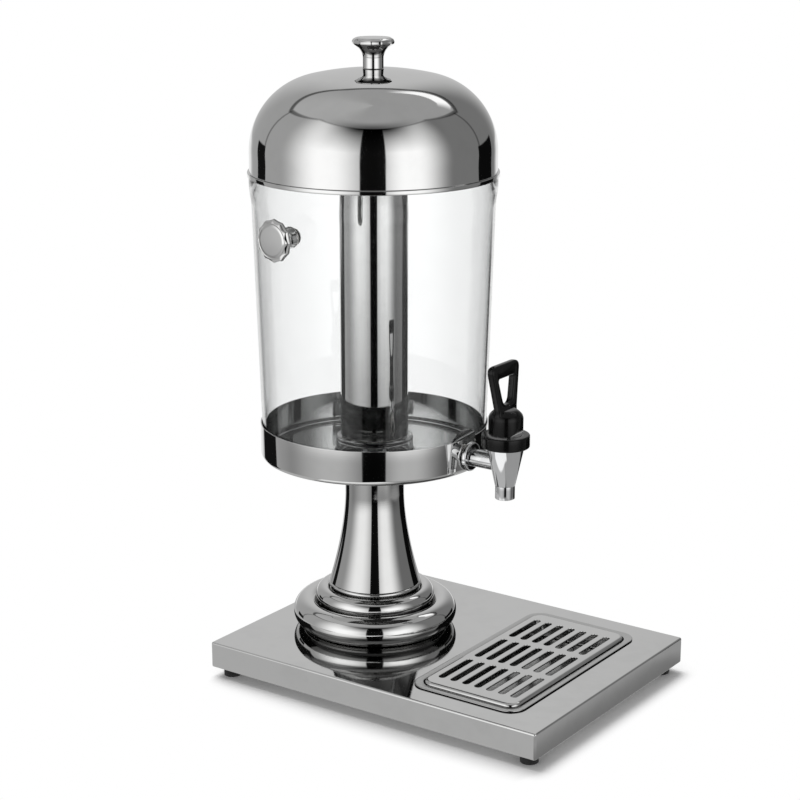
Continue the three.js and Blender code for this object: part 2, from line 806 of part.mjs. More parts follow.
// Mushroom knob about Z: straight stem, flare, round underside, rim, bevel and a flat face
function makeKnob(foot, height) {
  const top = foot + height;
  const rimTop = top - knobBevelHeight;
  const rimFoot = rimTop - knobRimHeight;
  const shoulder = rimFoot - knobUnderHeight;
  const boreTop = foot + knobScrewDepth + gap;
  return turned([
    [knobHoleRadius, foot],
    [knobStemRadius, foot],
    [knobStemRadius, shoulder - knobFlareHeight],
    [knobShoulderRadius, shoulder],
    [(knobShoulderRadius + knobHeadRadius) / 2, shoulder + knobUnderHeight * knobUnderShare],
    [knobHeadRadius, rimFoot],
    [knobHeadRadius, rimTop],
    [(knobHeadRadius + knobFaceRadius) / 2, rimTop + knobBevelHeight * knobBevelShare],
    [knobFaceRadius, top],
    [0, top],
    [0, boreTop],
    [knobHoleRadius, boreTop],
  ], smallSegments);
}

// Screw about Z that comes from below: head, then a shank up into the knob
function makeKnobScrew(headTop, tip) {
  const headFoot = headTop - knobScrewHeadHeight;
  return turned([
    [0, headFoot],
    [knobScrewFaceRadius, headFoot],
    [knobScrewHeadRadius, headFoot + knobScrewDomeHeight],
    [knobScrewHeadRadius, headTop],
    [knobScrewRadius, headTop],
    [knobScrewRadius, tip],
    [0, tip],
  ], tinySegments);
}

// Maps a shape's width to Y, its height to Z and its depth to X
const widthAlongY = new THREE.Matrix4().makeBasis(
  new THREE.Vector3(0, 1, 0), new THREE.Vector3(0, 0, 1), new THREE.Vector3(1, 0, 0));

// Cast body: cone and outlet, level shank with a smaller thread, and the valve chamber bored through them
function makeFaucetBody() {
  const escutcheonEnd = escutcheonFoot + escutcheonThickness;
  const cone = turned([
    [0, faucetHeight(-outletDrop)],
    [outletRadius, faucetHeight(-outletDrop)],
    [outletRadius, faucetHeight(-bodyFootDrop)],
    [bodyFootRadius, faucetHeight(-bodyFootDrop)],
    [bodyTopRadius, bodyTop],
    [0, bodyTop],
  ], mediumSegments).translate([faucetReach, 0, 0]);
  const shank = laidAlongX(post(0, 0, shankRadius, escutcheonEnd + gap, faucetReach))
    .translate([0, 0, shankAxis]);
  const thread = laidAlongX(post(0, 0, shankThreadRadius, shankThreadEnd, faucetReach))
    .translate([0, 0, shankAxis]);
  const chamber = turned([
    [0, faucetHeight(-outletDrop) - cutOverrun],
    [outletBore, faucetHeight(-outletDrop) - cutOverrun],
    [outletBore, faucetHeight(-seatDrop)],
    [chamberFootRadius, faucetHeight(-chamberFootDrop)],
    [chamberTopRadius, bodyTop],
    [chamberTopRadius, bodyTop + cutOverrun],
    [0, bodyTop + cutOverrun],
  ], smallSegments).translate([faucetReach, 0, 0]);
  const bore = laidAlongX(post(0, 0, shankBore, shankThreadEnd - cutOverrun, faucetReach, tinySegments))
    .translate([0, 0, shankAxis]);
  return cone.add(shank).add(thread).subtract(chamber).subtract(bore);
}

// A ring on the shank, built about Z and laid along X
function onShank(solid) {
  return laidAlongX(solid).translate([0, 0, shankAxis]);
}

function makeEscutcheon() {
  const face = escutcheonFoot + escutcheonThickness;
  const ease = escutcheonEase;
  return onShank(turned([
    [shankHoleRadius, escutcheonFoot],
    [escutcheonRadius, escutcheonFoot],
    ...arc(escutcheonRadius - ease, face - ease, ease, 0, Math.PI / 2, cornerSteps),
    [shankHoleRadius, face],
  ], smallSegments));
}

// Plastic cap over the body, with a spigot in the chamber and a hole for the stem
function makeBonnet() {
  const ease = Math.PI / 2;
  const rim = bonnetRadius - bonnetEase;
  const hole = stemRadius + stemPlay;
  return turned([
    [hole, bonnetFoot - bonnetSpigotDepth],
    [bonnetSpigotRadius, bonnetFoot - bonnetSpigotDepth],
    [bonnetSpigotRadius, bonnetFoot],
    ...arc(rim, bonnetFoot + bonnetEase, bonnetEase, -ease, 0, cornerSteps),
    ...arc(rim, bonnetTop - bonnetEase, bonnetEase, 0, ease, cornerSteps),
    [hole, bonnetTop],
  ], mediumSegments).translate([faucetReach, 0, 0]);
}

// Stem: rod with a spring flange, and a flat tongue that the handle's pin passes through
function makeStem() {
  const flangeTop = faucetHeight(-stemFlangeTopDrop);
  const tongueFoot = bonnetTop + gap;
  const tongueTop = pinAxis + tongueRise;
  const rod = turned([
    [0, faucetHeight(-stemFootDrop)],
    [stemRadius, faucetHeight(-stemFootDrop)],
    [stemRadius, flangeTop - stemFlangeHeight],
    [stemFlangeRadius, flangeTop - stemFlangeHeight],
    [stemFlangeRadius, flangeTop],
    [stemRadius, flangeTop],
    [stemRadius, tongueFoot + stemRadius],
    [0, tongueFoot + stemRadius],
  ], smallSegments);
  const tongue = new THREE.BoxGeometry(tongueWidth, tongueThickness, tongueTop - tongueFoot);
  tongue.translate(0, 0, (tongueTop + tongueFoot) / 2);
  const hole = pinCylinder(pinRadius + pinPlay, tongueThickness, tongueThickness);
  return rod.add(solidOf(tongue)).subtract(hole).translate([faucetReach, 0, 0]);
}

// Cylinder along Y on the pin's axis, from its blind end in front to its open end behind
function pinCylinder(radius, blindEnd, openEnd) {
  return post(0, 0, radius, -openEnd, blindEnd).rotate([90, 0, 0]).translate([0, 0, pinAxis]);
}

// Soft cup on the stem's foot that shuts the outlet
function makeSeatCup() {
  const top = faucetHeight(-stemFlangeTopDrop) - stemFlangeHeight - gap;
  const tip = faucetHeight(-cupTipDrop);
  const bore = stemRadius + gap;
  const floor = faucetHeight(-stemFootDrop) - gap;
  return turned([
    [0, tip],
    [cupTipRadius, tip],
    [cupRadius, tip + cupConeHeight],
    [cupRadius, top],
    [bore, top],
    [bore, floor],
    [0, floor],
  ], smallSegments).translate([faucetReach, 0, 0]);
}

// Middle line of the spring's wire
class Helix extends THREE.Curve {
  constructor(radius, bottom, top, turns) {
    super();
    Object.assign(this, { radius, bottom, top, turns });
  }

  getPoint(share, target = new THREE.Vector3()) {
    const angle = share * this.turns * 2 * Math.PI;
    const height = this.bottom + (this.top - this.bottom) * share;
    return target.set(this.radius * Math.cos(angle), this.radius * Math.sin(angle), height);
  }
}

function makeSpring() {
  const path = new Helix(springRadius, springFoot + springWire, springTop - springWire, springTurns);
  const section = new THREE.Shape();
  arc(0, 0, springWire, 0, 2 * Math.PI * (1 - 1 / springSides), springSides - 1)
    .forEach(([x, y], index) => (index ? section.lineTo(x, y) : section.moveTo(x, y)));
  const steps = springTurns * springStepsPerTurn;
  const geometry = new THREE.ExtrudeGeometry(section, { steps, extrudePath: path, bevelEnabled: false });
  return solidOf(geometry).translate([faucetReach, 0, 0]);
}

// Blade outline: a waist that widens to a bar with round corners, round a tapered window
function bladeOutline() {
  const foot = bladeFootLift;
  const top = bladeTopLift;
  const waist = bladeWaistWidth / 2;
  const wide = bladeTopWidth / 2;
  const shape = new THREE.Shape();
  shape.moveTo(-waist, foot);
  shape.lineTo(waist, foot);
  shape.lineTo(wide, top - bladeCorner);
  shape.quadraticCurveTo(wide, top, wide - bladeCorner, top);
  shape.lineTo(bladeCorner - wide, top);
  shape.quadraticCurveTo(-wide, top, -wide, top - bladeCorner);
  shape.closePath();
  const low = windowFootWidth / 2;
  const high = windowTopWidth / 2;
  const hole = new THREE.Path();
  hole.moveTo(0, windowFootLift);
  hole.quadraticCurveTo(low, windowFootLift, low, windowFootLift + low);
  hole.lineTo(high, windowTopLift - windowCorner);
  hole.quadraticCurveTo(high, windowTopLift, high - windowCorner, windowTopLift);
  hole.lineTo(windowCorner - high, windowTopLift);
  hole.quadraticCurveTo(-high, windowTopLift, -high, windowTopLift - windowCorner);
  hole.lineTo(-low, windowFootLift + low);
  hole.quadraticCurveTo(-low, windowFootLift, 0, windowFootLift);
  shape.holes.push(hole);
  return shape;
}

// Handle: hub with a rolling heel and a crown, slotted for the stem's tongue, and the leaning blade
function makeHandle() {
  const heel = -Math.PI / 2;
  const hub = turned([
    [0, hubFoot],
    ...arc(hubRadius - hubHeel, hubFoot + hubHeel, hubHeel, heel, 0, bendSteps),
    [hubRadius, hubFoot + hubHeight],
    [hubCrownRadius, hubFoot + hubHeight + hubCrownHeight],
    [0, hubFoot + hubHeight + hubCrownHeight],
  ], smallSegments);
  const blade = new THREE.ExtrudeGeometry(bladeOutline(), {
    depth: bladeThickness - 2 * bladeEdge,
    bevelEnabled: true,
    bevelThickness: bladeEdge,
    bevelSize: bladeEdge,
    bevelOffset: -bladeEdge,
    bevelSegments: 1,
    curveSegments: bendSteps,
  });
  blade.translate(0, 0, bladeEdge - bladeThickness / 2);
  blade.applyMatrix4(widthAlongY);
  blade.translate(0, 0, -bladeFootLift);
  blade.rotateY(bladeLean);
  blade.translate(0, 0, hubFoot + bladeFootLift);
  const depth = hubFoot - pinAxis - cutOverrun;
  const slot = new THREE.Shape();
  slot.moveTo(-hubSlotHalf, depth);
  slot.lineTo(hubSlotSlant - depth, depth);
  slot.lineTo(hubSlotHalf, hubSlotSlant - hubSlotHalf);
  slot.lineTo(hubSlotHalf, hubSlotTop);
  slot.lineTo(-hubSlotHalf, hubSlotTop);
  slot.closePath();
  const cutter = new THREE.ExtrudeGeometry(slot, { depth: hubSlotWidth, bevelEnabled: false });
  cutter.translate(0, 0, -hubSlotWidth / 2);
  cutter.rotateX(Math.PI / 2);
  cutter.translate(0, 0, pinAxis);
  return hub.add(solidOf(blade))
    .subtract(solidOf(cutter))
    .subtract(pinCylinder(pinRadius + pinPlay, pinBlindEnd + gap, hubRadius + cutOverrun))
    .translate([faucetReach, 0, 0]);
}

// Base, feet and tray
addPiece('base_plate', makeBasePlate(), polishedSteel);
footPlaces().forEach(([x, y], index) => {
  const number = index + 1;
  addPiece(`foot_${number}`, makeFoot().translate([x, y, 0]), blackRubber);
  addPiece(`foot_screw_${number}`, makeFootScrew().translate([x, y, 0]), zincSteel);
  addPiece(`foot_nut_${number}`, makeFootNut().translate([x, y, 0]), zincSteel);
});
addPiece('backing_plate', makeBackingPlate(), zincSteel);
addPiece('drip_tray', makeDripTray(), satinSteel);
addPiece('drip_grille', makeDripGrille(), polishedSteel);

// Pedestal and cradle
addPiece('pedestal_lower_ring', makeSpunRing(
  lowerRingCircle, lowerRingTube, lowerRingCentre, lowerRingWrap, lowerRingFlange, largeSegments,
), polishedSteel);
addPiece('pedestal_upper_ring', makeSpunRing(
  upperRingCircle, upperRingTube, upperRingCentre, upperRingWrap, upperRingFlange, mediumSegments,
), polishedSteel);
addPiece('pedestal_collar', makePedestalCollar(), polishedSteel);
addPiece('pedestal_neck', makePedestalNeck(), polishedSteel);
addPiece('column_rod', makeColumnRod(), zincSteel);
addPiece('column_washer_low', washer(
  rodHoleRadius, rodWasherRadius, rodSeatLow - rodWasherThickness, rodSeatLow), zincSteel);
addPiece('column_nut_low', hexNut(
  rodHoleRadius, rodNutRadius, rodNutLowTop - rodNutHeight, rodNutLowTop), zincSteel);
addPiece('column_washer_top', washer(
  rodHoleRadius, rodWasherRadius, rodSeatTop, rodSeatTop + rodWasherThickness), zincSteel);
addPiece('column_nut_top', hexNut(
  rodHoleRadius, rodNutRadius, rodNutTopFoot, rodNutTopFoot + rodNutHeight), zincSteel);
addPiece('tank_cradle', makeTankCradle(), polishedSteel);

// Tank and ice tube
addPiece('tank', makeTank(), clearPlastic);
addPiece('ice_tube', makeIceTube(), polishedSteel);
addPiece('ice_tube_gasket', washer(
  tubeGasketBore, tubeGasketRadius, tubeGasketFoot, tubeGasketFoot + tubeGasketThickness), paleSilicone);
addPiece('ice_tube_washer', washer(
  studHoleRadius, tubeWasherRadius, tubeWasherTop - tubeWasherThickness, tubeWasherTop), zincSteel);
addPiece('ice_tube_nut', hexNut(
  studHoleRadius, tubeNutRadius, tubeNutTop - tubeNutHeight, tubeNutTop), zincSteel);

// Lid with its knob
addPiece('lid_dome', makeLidDome(), polishedSteel);
addPiece('lid_knob', makeKnob(lidKnobFoot, lidKnobHeight), polishedSteel);
addPiece('lid_washer', washer(
  knobHoleRadius, knobWasherRadius, lidWasherTop - knobWasherThickness, lidWasherTop, tinySegments,
), zincSteel);
addPiece('lid_screw', makeKnobScrew(lidScrewHeadTop, lidKnobFoot + knobScrewDepth), zincSteel);

// Side knob: everything stands on one level line through the tank's wall
function onSideKnobLine(solid) {
  return turnedToSideKnob(laidAlongX(solid).translate([0, 0, sideKnobHeight]));
}

addPiece('side_knob', onSideKnobLine(makeKnob(sideKnobFoot, sideKnobReach)), polishedSteel);
addPiece('side_knob_gasket', onSideKnobLine(washer(
  knobHoleRadius, knobStemRadius, sideGasketFoot, sideGasketFoot + knobGasketThickness)), paleSilicone);
addPiece('side_knob_washer', onSideKnobLine(washer(
  knobHoleRadius, knobWasherRadius, sideWasherTop - knobWasherThickness, sideWasherTop, tinySegments,
)), zincSteel);
addPiece('side_knob_screw', onSideKnobLine(makeKnobScrew(
  sideScrewHeadTop, sideKnobFoot + knobScrewDepth)), zincSteel);

// Faucet
addPiece('faucet_body', makeFaucetBody(), chrome);
addPiece('faucet_escutcheon', makeEscutcheon(), chrome);
addPiece('faucet_gasket', onShank(washer(
  shankHoleRadius, gasketRadius, gasketFoot, gasketFoot + gasketThickness)), paleSilicone);
addPiece('faucet_washer', onShank(washer(
  shankHoleRadius, innerWasherRadius, innerWasherFace - innerWasherThickness, innerWasherFace,
)), paleSilicone);
addPiece('faucet_nut', onShank(hexNut(
  shankHoleRadius, innerNutRadius, innerNutFace - innerNutHeight, innerNutFace)), paleSilicone);
addPiece('faucet_bonnet', makeBonnet(), blackPlastic);
addPiece('faucet_stem', makeStem(), satinSteel);
addPiece('faucet_seat_cup', makeSeatCup(), paleSilicone);
addPiece('faucet_spring', makeSpring(), satinSteel);
addPiece('faucet_handle', makeHandle(), blackPlastic);
addPiece('handle_pin', pinCylinder(pinRadius, pinBlindEnd, pinOpenEnd)
  .translate([faucetReach, 0, 0]), satinSteel);

// The middle of the footprint goes over the origin, on the table
const extent = new THREE.Box3().setFromObject(assembly, true);
const middle = extent.getCenter(new THREE.Vector3());
assembly.position.set(-middle.x, -middle.y, -extent.min.z);
dispenser.updateMatrixWorld(true);

export default dispenser;
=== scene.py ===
"""Dresses a counter-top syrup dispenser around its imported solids, for a studio picture.

Lengths are written in millimetres and turned into metres when a mesh is finished. Heights are above the table.
"""

import logging
import math
from dataclasses import dataclass, field
from enum import Enum
from typing import Iterable, Mapping, Sequence, Union

import bmesh
import bpy
from bmesh.types import BMEdge, BMesh, BMVert
from bpy.types import Material, Node, NodeSocket, NodeTree, Object
from mathutils import Matrix, Vector


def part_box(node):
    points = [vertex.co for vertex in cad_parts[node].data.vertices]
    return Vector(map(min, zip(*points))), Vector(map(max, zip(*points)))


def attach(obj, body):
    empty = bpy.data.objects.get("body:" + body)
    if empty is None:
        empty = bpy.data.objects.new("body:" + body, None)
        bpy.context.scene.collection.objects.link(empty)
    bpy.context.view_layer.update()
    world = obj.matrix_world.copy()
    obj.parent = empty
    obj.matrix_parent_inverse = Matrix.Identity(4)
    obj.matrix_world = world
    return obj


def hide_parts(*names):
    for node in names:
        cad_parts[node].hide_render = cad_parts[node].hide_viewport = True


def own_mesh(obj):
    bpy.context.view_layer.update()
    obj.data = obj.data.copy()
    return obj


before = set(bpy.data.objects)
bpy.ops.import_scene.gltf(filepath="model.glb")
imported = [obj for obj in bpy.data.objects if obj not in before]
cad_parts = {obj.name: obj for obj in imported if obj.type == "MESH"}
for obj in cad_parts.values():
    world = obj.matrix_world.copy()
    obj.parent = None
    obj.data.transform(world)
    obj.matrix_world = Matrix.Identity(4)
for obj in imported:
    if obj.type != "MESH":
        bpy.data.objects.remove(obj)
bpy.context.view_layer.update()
LOG = logging.getLogger("dispenser")

Point = tuple[float, float]
Corner = tuple[float, float, float]
Colour = tuple[float, float, float, float]
SocketValue = Union[float, Sequence[float], NodeSocket]

MM = 0.001
MERGE = 1e-5
SUPPORT = 0.4
LEAST_CORNER = 0.2
CLEARANCE = 0.3
FIRST_IMAGE = 0.5
SHARP_ANGLE = math.radians(32)
QUARTER = math.pi / 2
FULL_TURN = 2 * math.pi
ORIGIN = (0.0, 0.0, 0.0)


class Body(Enum):
    """Moving groups of the dispenser."""

    BASE = "base"
    TRAY = "tray"
    GRILLE = "grille"
    TANK = "tank"
    LID = "lid"
    STEM = "stem"
    HANDLE = "handle"


class Slot(Enum):
    """Material slots of the record."""

    POLISHED = "polished_steel"
    CHROME = "chrome"
    SATIN = "satin_steel"
    ZINC = "zinc_steel"
    CLEAR = "clear_plastic"
    BLACK = "black_plastic"
    RUBBER = "black_rubber"
    SILICONE = "pale_silicone"


class Roundness(Enum):
    """Number of steps in a full turn of a spun piece."""

    LARGE = 192
    MEDIUM = 128
    SMALL = 72


@dataclass(frozen=True)
class Extent:
    """Box of one CAD node at rest, in millimetres."""

    low: Vector
    high: Vector

    @classmethod
    def of(cls, node: str) -> "Extent":
        """Reads a node's box from the frame.

        Args:
            node: name of the CAD node.

        Returns:
            The node's extent.
        """
        low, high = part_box(node)
        return cls(low / MM, high / MM)

    @property
    def middle(self) -> Vector:
        """Middle of the box."""
        return (self.low + self.high) / 2


NECK_BOX = Extent.of("pedestal_neck")
COLUMN = Vector((NECK_BOX.middle.x, NECK_BOX.middle.y, 0.0))
BONNET_BOX = Extent.of("faucet_bonnet")
FAUCET = Vector((BONNET_BOX.middle.x, BONNET_BOX.middle.y, 0.0))


def arc(centre: Point, radius: float, start: float, end: float, steps: int) -> list[Point]:
    """Points of a circular arc in a profile.

    Args:
        centre: distance from the axis and height of the arc's centre.
        radius: radius of the arc.
        start: first angle in radians, from the outward direction.
        end: last angle in radians.
        steps: number of straight steps.

    Returns:
        The points, both ends included.
    """
    points = []
    for step in range(steps + 1):
        angle = start + (end - start) * step / steps
        points.append((centre[0] + radius * math.cos(angle), centre[1] + radius * math.sin(angle)))
    return points


def eased(corners: Sequence[Corner], closed: bool = True, steps: int = 5) -> list[Point]:
    """Rounds the corners of an outline.

    Args:
        corners: two coordinates and the size of the rounding for each corner.
        closed: whether the last corner joins the first.
        steps: number of straight steps in each rounding.

    Returns:
        The outline's points.
    """
    points: list[Point] = []
    count = len(corners)
    for index, (x, y, ease) in enumerate(corners):
        if ease <= 0 or (not closed and index in (0, count - 1)):
            points.append((x, y))
            continue
        corner = Vector((x, y))
        before = Vector(corners[index - 1][:2]) - corner
        after = Vector(corners[(index + 1) % count][:2]) - corner
        reach = min(ease, before.length / 2, after.length / 2)
        start = corner + before.normalized() * reach
        end = corner + after.normalized() * reach
        for step in range(steps + 1):
            share = step / steps
            point = start * (1 - share) ** 2 + corner * 2 * share * (1 - share) + end * share ** 2
            points.append((point.x, point.y))
    return points


def add_loop(bm: BMesh, points: Iterable[Sequence[float]]) -> list[BMEdge]:
    """Adds a closed loop of edges.

    Args:
        bm: mesh that takes the loop.
        points: corners in space.

    Returns:
        The loop's edges.
    """
    verts = [bm.verts.new(point) for point in points]
    return [bm.edges.new((verts[i - 1], verts[i])) for i in range(len(verts))]


def pulled(bm: BMesh, loops: Sequence[Sequence[Vector]]) -> tuple[list[BMEdge], list[BMEdge]]:
    """Pulls a wall from one closed loop through the next ones, corner by corner.

    Args:
        bm: mesh that takes the wall.
        loops: corners of each loop, in the same order and number.

    Returns:
        The edges of the first and of the last loop.
    """
    first = edges = add_loop(bm, loops[0])
    for before, after in zip(loops, loops[1:]):
        targets = {tuple(old): new for old, new in zip(before, after)}
        grown = bmesh.ops.extrude_edge_only(bm, edges=edges)["geom"]
        for vert in (item for item in grown if isinstance(item, BMVert)):
            vert.co = targets[tuple(vert.co)]
        edges = [item for item in grown if isinstance(item, BMEdge) and item.is_boundary]
    return first, edges


def spun(profile: Sequence[Point], turn: Roundness, closed: bool = True) -> BMesh:
    """Spins a profile round the Z axis.

    Args:
        profile: distances from the axis and heights.
        turn: how finely the turn is divided.
        closed: whether the profile is a closed loop that stays off the axis.

    Returns:
        The spun surface, closed and with its faces outward.
    """
    bm = bmesh.new()
    verts = [bm.verts.new((radius, 0.0, height)) for radius, height in profile]
    pairs = list(zip(verts, verts[1:]))
    if closed:
        pairs.append((verts[-1], verts[0]))
    edges = [bm.edges.new(pair) for pair in pairs]
    bmesh.ops.spin(bm, geom=verts + edges, cent=ORIGIN, axis=(0, 0, 1), angle=FULL_TURN,
                   steps=turn.value, use_merge=True)
    bmesh.ops.remove_doubles(bm, verts=bm.verts, dist=MERGE)
    bmesh.ops.dissolve_degenerate(bm, dist=MERGE, edges=bm.edges)
    bmesh.ops.recalc_face_normals(bm, faces=bm.faces)
    return bm


@dataclass(frozen=True)
class Ring:
    """Level rectangle with round corners, one step of a pressed or folded sheet."""

    width: float
    length: float
    corner: float
    height: float

    def points(self, centre: Vector, steps: int = 10) -> list[Vector]:
        """Corners of the ring in space.

        Args:
            centre: middle of the ring.
            steps: number of straight steps in each round corner.

        Returns:
            The points, counter-clockwise from above.
        """
        reach_x = self.width / 2 - self.corner
        reach_y = self.length / 2 - self.corner
        points = []
        for index, (side_x, side_y) in enumerate(((1, 1), (-1, 1), (-1, -1), (1, -1))):
            middle = (centre.x + side_x * reach_x, centre.y + side_y * reach_y)
            start = index * QUARTER
            points += [Vector((x, y, self.height))
                       for x, y in arc(middle, self.corner, start, start + QUARTER, steps)]
        return points

    def grown(self, by: float, height: float) -> "Ring":
        """The same ring with its sides moved out by a distance, at another height."""
        return Ring(self.width + 2 * by, self.length + 2 * by, max(self.corner + by, LEAST_CORNER), height)


def eased_step(ring: Ring, ease: float, steps: int = 4, turn_down: bool = True) -> list[Ring]:
    """Rings of a rounded outer edge between a level face and an upright wall.

    Args:
        ring: ring of the wall, at the height of the level face.
        ease: radius of the rounding.
        steps: number of straight steps.
        turn_down: whether the wall goes down from the face and the rings run that way.

    Returns:
        The rings, from the face to the wall or from the wall to the face.
    """
    rings = []
    for step in range(steps + 1):
        angle = QUARTER * step / steps
        inset = ease * (1 - math.sin(angle))
        drop = ease * (1 - math.cos(angle))
        rings.append(ring.grown(-inset, ring.height - drop if turn_down else ring.height + drop))
    return rings if turn_down else rings[::-1]


def lofted(rings: Sequence[Ring], centre: Vector, holes: Sequence[Sequence[Sequence[Vector]]] = ()) -> BMesh:
    """Joins rings into a closed shell whose first and last rings are filled.

    Args:
        rings: rings from one level face to the other.
        centre: middle of the rings.
        holes: for each hole, its loops from the first face to the last.

    Returns:
        The shell with its faces outward.
    """
    rings = [rings[0].grown(-SUPPORT, rings[0].height), *rings, rings[-1].grown(-SUPPORT, rings[-1].height)]
    bm = bmesh.new()
    first_edges, last_edges = [], []
    for loops in [[ring.points(centre) for ring in rings], *holes]:
        first, last = pulled(bm, loops)
        first_edges += first
        last_edges += last
    for edges in (first_edges, last_edges):
        bmesh.ops.triangle_fill(bm, use_beauty=True, use_dissolve=False, edges=edges)
    bmesh.ops.recalc_face_normals(bm, faces=bm.faces)
    return bm


def extruded(bm: BMesh, along: Sequence[float]) -> BMesh:
    """Gives a flat mesh its thickness.

    Args:
        bm: flat mesh.
        along: direction and length of the extrusion.

    Returns:
        The closed solid with its faces outward.
    """
    grown = bmesh.ops.extrude_face_region(bm, geom=bm.faces[:])["geom"]
    bmesh.ops.translate(bm, verts=[item for item in grown if isinstance(item, BMVert)], vec=along)
    bmesh.ops.recalc_face_normals(bm, faces=bm.faces)
    return bm


def prism(outline: Iterable[Sequence[float]], along: Sequence[float]) -> BMesh:
    """Makes a closed prism.

    Args:
        outline: corners of its first face, in space.
        along: direction and length of the prism.

    Returns:
        The prism.
    """
    bm = bmesh.new()
    bm.faces.new([bm.verts.new(point) for point in outline])
    return extruded(bm, along)


def slab(outline: Sequence[Point], holes: Sequence[Sequence[Point]], thickness: float, ease: float) -> BMesh:
    """Flat plate with eased edges, lying in the XY plane with its middle at height zero.

    Args:
        outline: outer corners.
        holes: corners of each hole.
        thickness: height of the plate.
        ease: size of the rounding along both faces.

    Returns:
        The closed plate.
    """
    bm = bmesh.new()
    edges = []
    for loop in (outline, *holes):
        edges += add_loop(bm, [(x, y, -thickness / 2) for x, y in loop])
    bmesh.ops.triangle_fill(bm, use_beauty=True, use_dissolve=True, edges=edges)
    extruded(bm, (0, 0, thickness))
    rims = [edge for edge in bm.edges if abs(edge.calc_face_angle(0.0) - QUARTER) < SHARP_ANGLE
            and abs(edge.verts[0].co.z - edge.verts[1].co.z) < MERGE]
    bmesh.ops.bevel(bm, geom=rims, offset=ease, affect="EDGES", segments=4, profile=0.5, material=-1)
    return bm


def turned(bm: BMesh, angle: float, axis: str, centre: Sequence[float] = ORIGIN) -> BMesh:
    """Turns a whole mesh about an axis."""
    bmesh.ops.rotate(bm, verts=bm.verts, cent=centre, matrix=Matrix.Rotation(angle, 3, axis))
    return bm


def moved(bm: BMesh, *offsets: Vector) -> BMesh:
    """Moves a whole mesh by the sum of some offsets."""
    bmesh.ops.translate(bm, verts=bm.verts, vec=sum(offsets, Vector((0, 0, 0))))
    return bm


def shade_smooth(mesh: bpy.types.Mesh) -> None:
    """Shades a mesh smooth, with its real corners kept sharp."""
    mesh.polygons.foreach_set("use_smooth", [True] * len(mesh.polygons))
    mesh.set_sharp_from_angle(angle=SHARP_ANGLE)


def make_object(name: str, bm: BMesh) -> Object:
    """Turns a mesh in millimetres into an object in metres, at the origin.

    Args:
        name: name of the object.
        bm: the mesh, freed here.

    Returns:
        The new object, linked to the scene.
    """
    bmesh.ops.scale(bm, vec=(MM, MM, MM), verts=bm.verts)
    mesh = bpy.data.meshes.new(name)
    bm.to_mesh(mesh)
    bm.free()
    shade_smooth(mesh)
    obj = bpy.data.objects.new(name, mesh)
    bpy.context.scene.collection.objects.link(obj)
    return obj


def carved(obj: Object, tool: Object, operation: str) -> Object:
    """Cuts or joins an object with a tool, and removes the tool.

    Args:
        obj: object that is changed.
        tool: closed object that cuts it or is joined to it.
        operation: DIFFERENCE, UNION or INTERSECT.

    Returns:
        The changed object.
    """
    modifier = obj.modifiers.new(operation.lower(), "BOOLEAN")
    modifier.operation = operation
    modifier.solver = "EXACT"
    modifier.object = tool
    graph = bpy.context.evaluated_depsgraph_get()
    old, obj.data = obj.data, bpy.data.meshes.new_from_object(obj.evaluated_get(graph))
    obj.modifiers.remove(modifier)
    bpy.data.meshes.remove(old)
    bpy.data.objects.remove(tool)
    shade_smooth(obj.data)
    return obj


@dataclass(frozen=True)
class Slope:
    """How a level or a mask runs between two values of what it depends on. Outside them it stays."""

    start: float
    end: float
    low: float = 0.0
    high: float = 1.0
    smooth: bool = True


@dataclass(frozen=True)
class Band:
    """Range of an angle or a distance, with soft sides outside its two limits."""

    start: float
    end: float
    soft: float


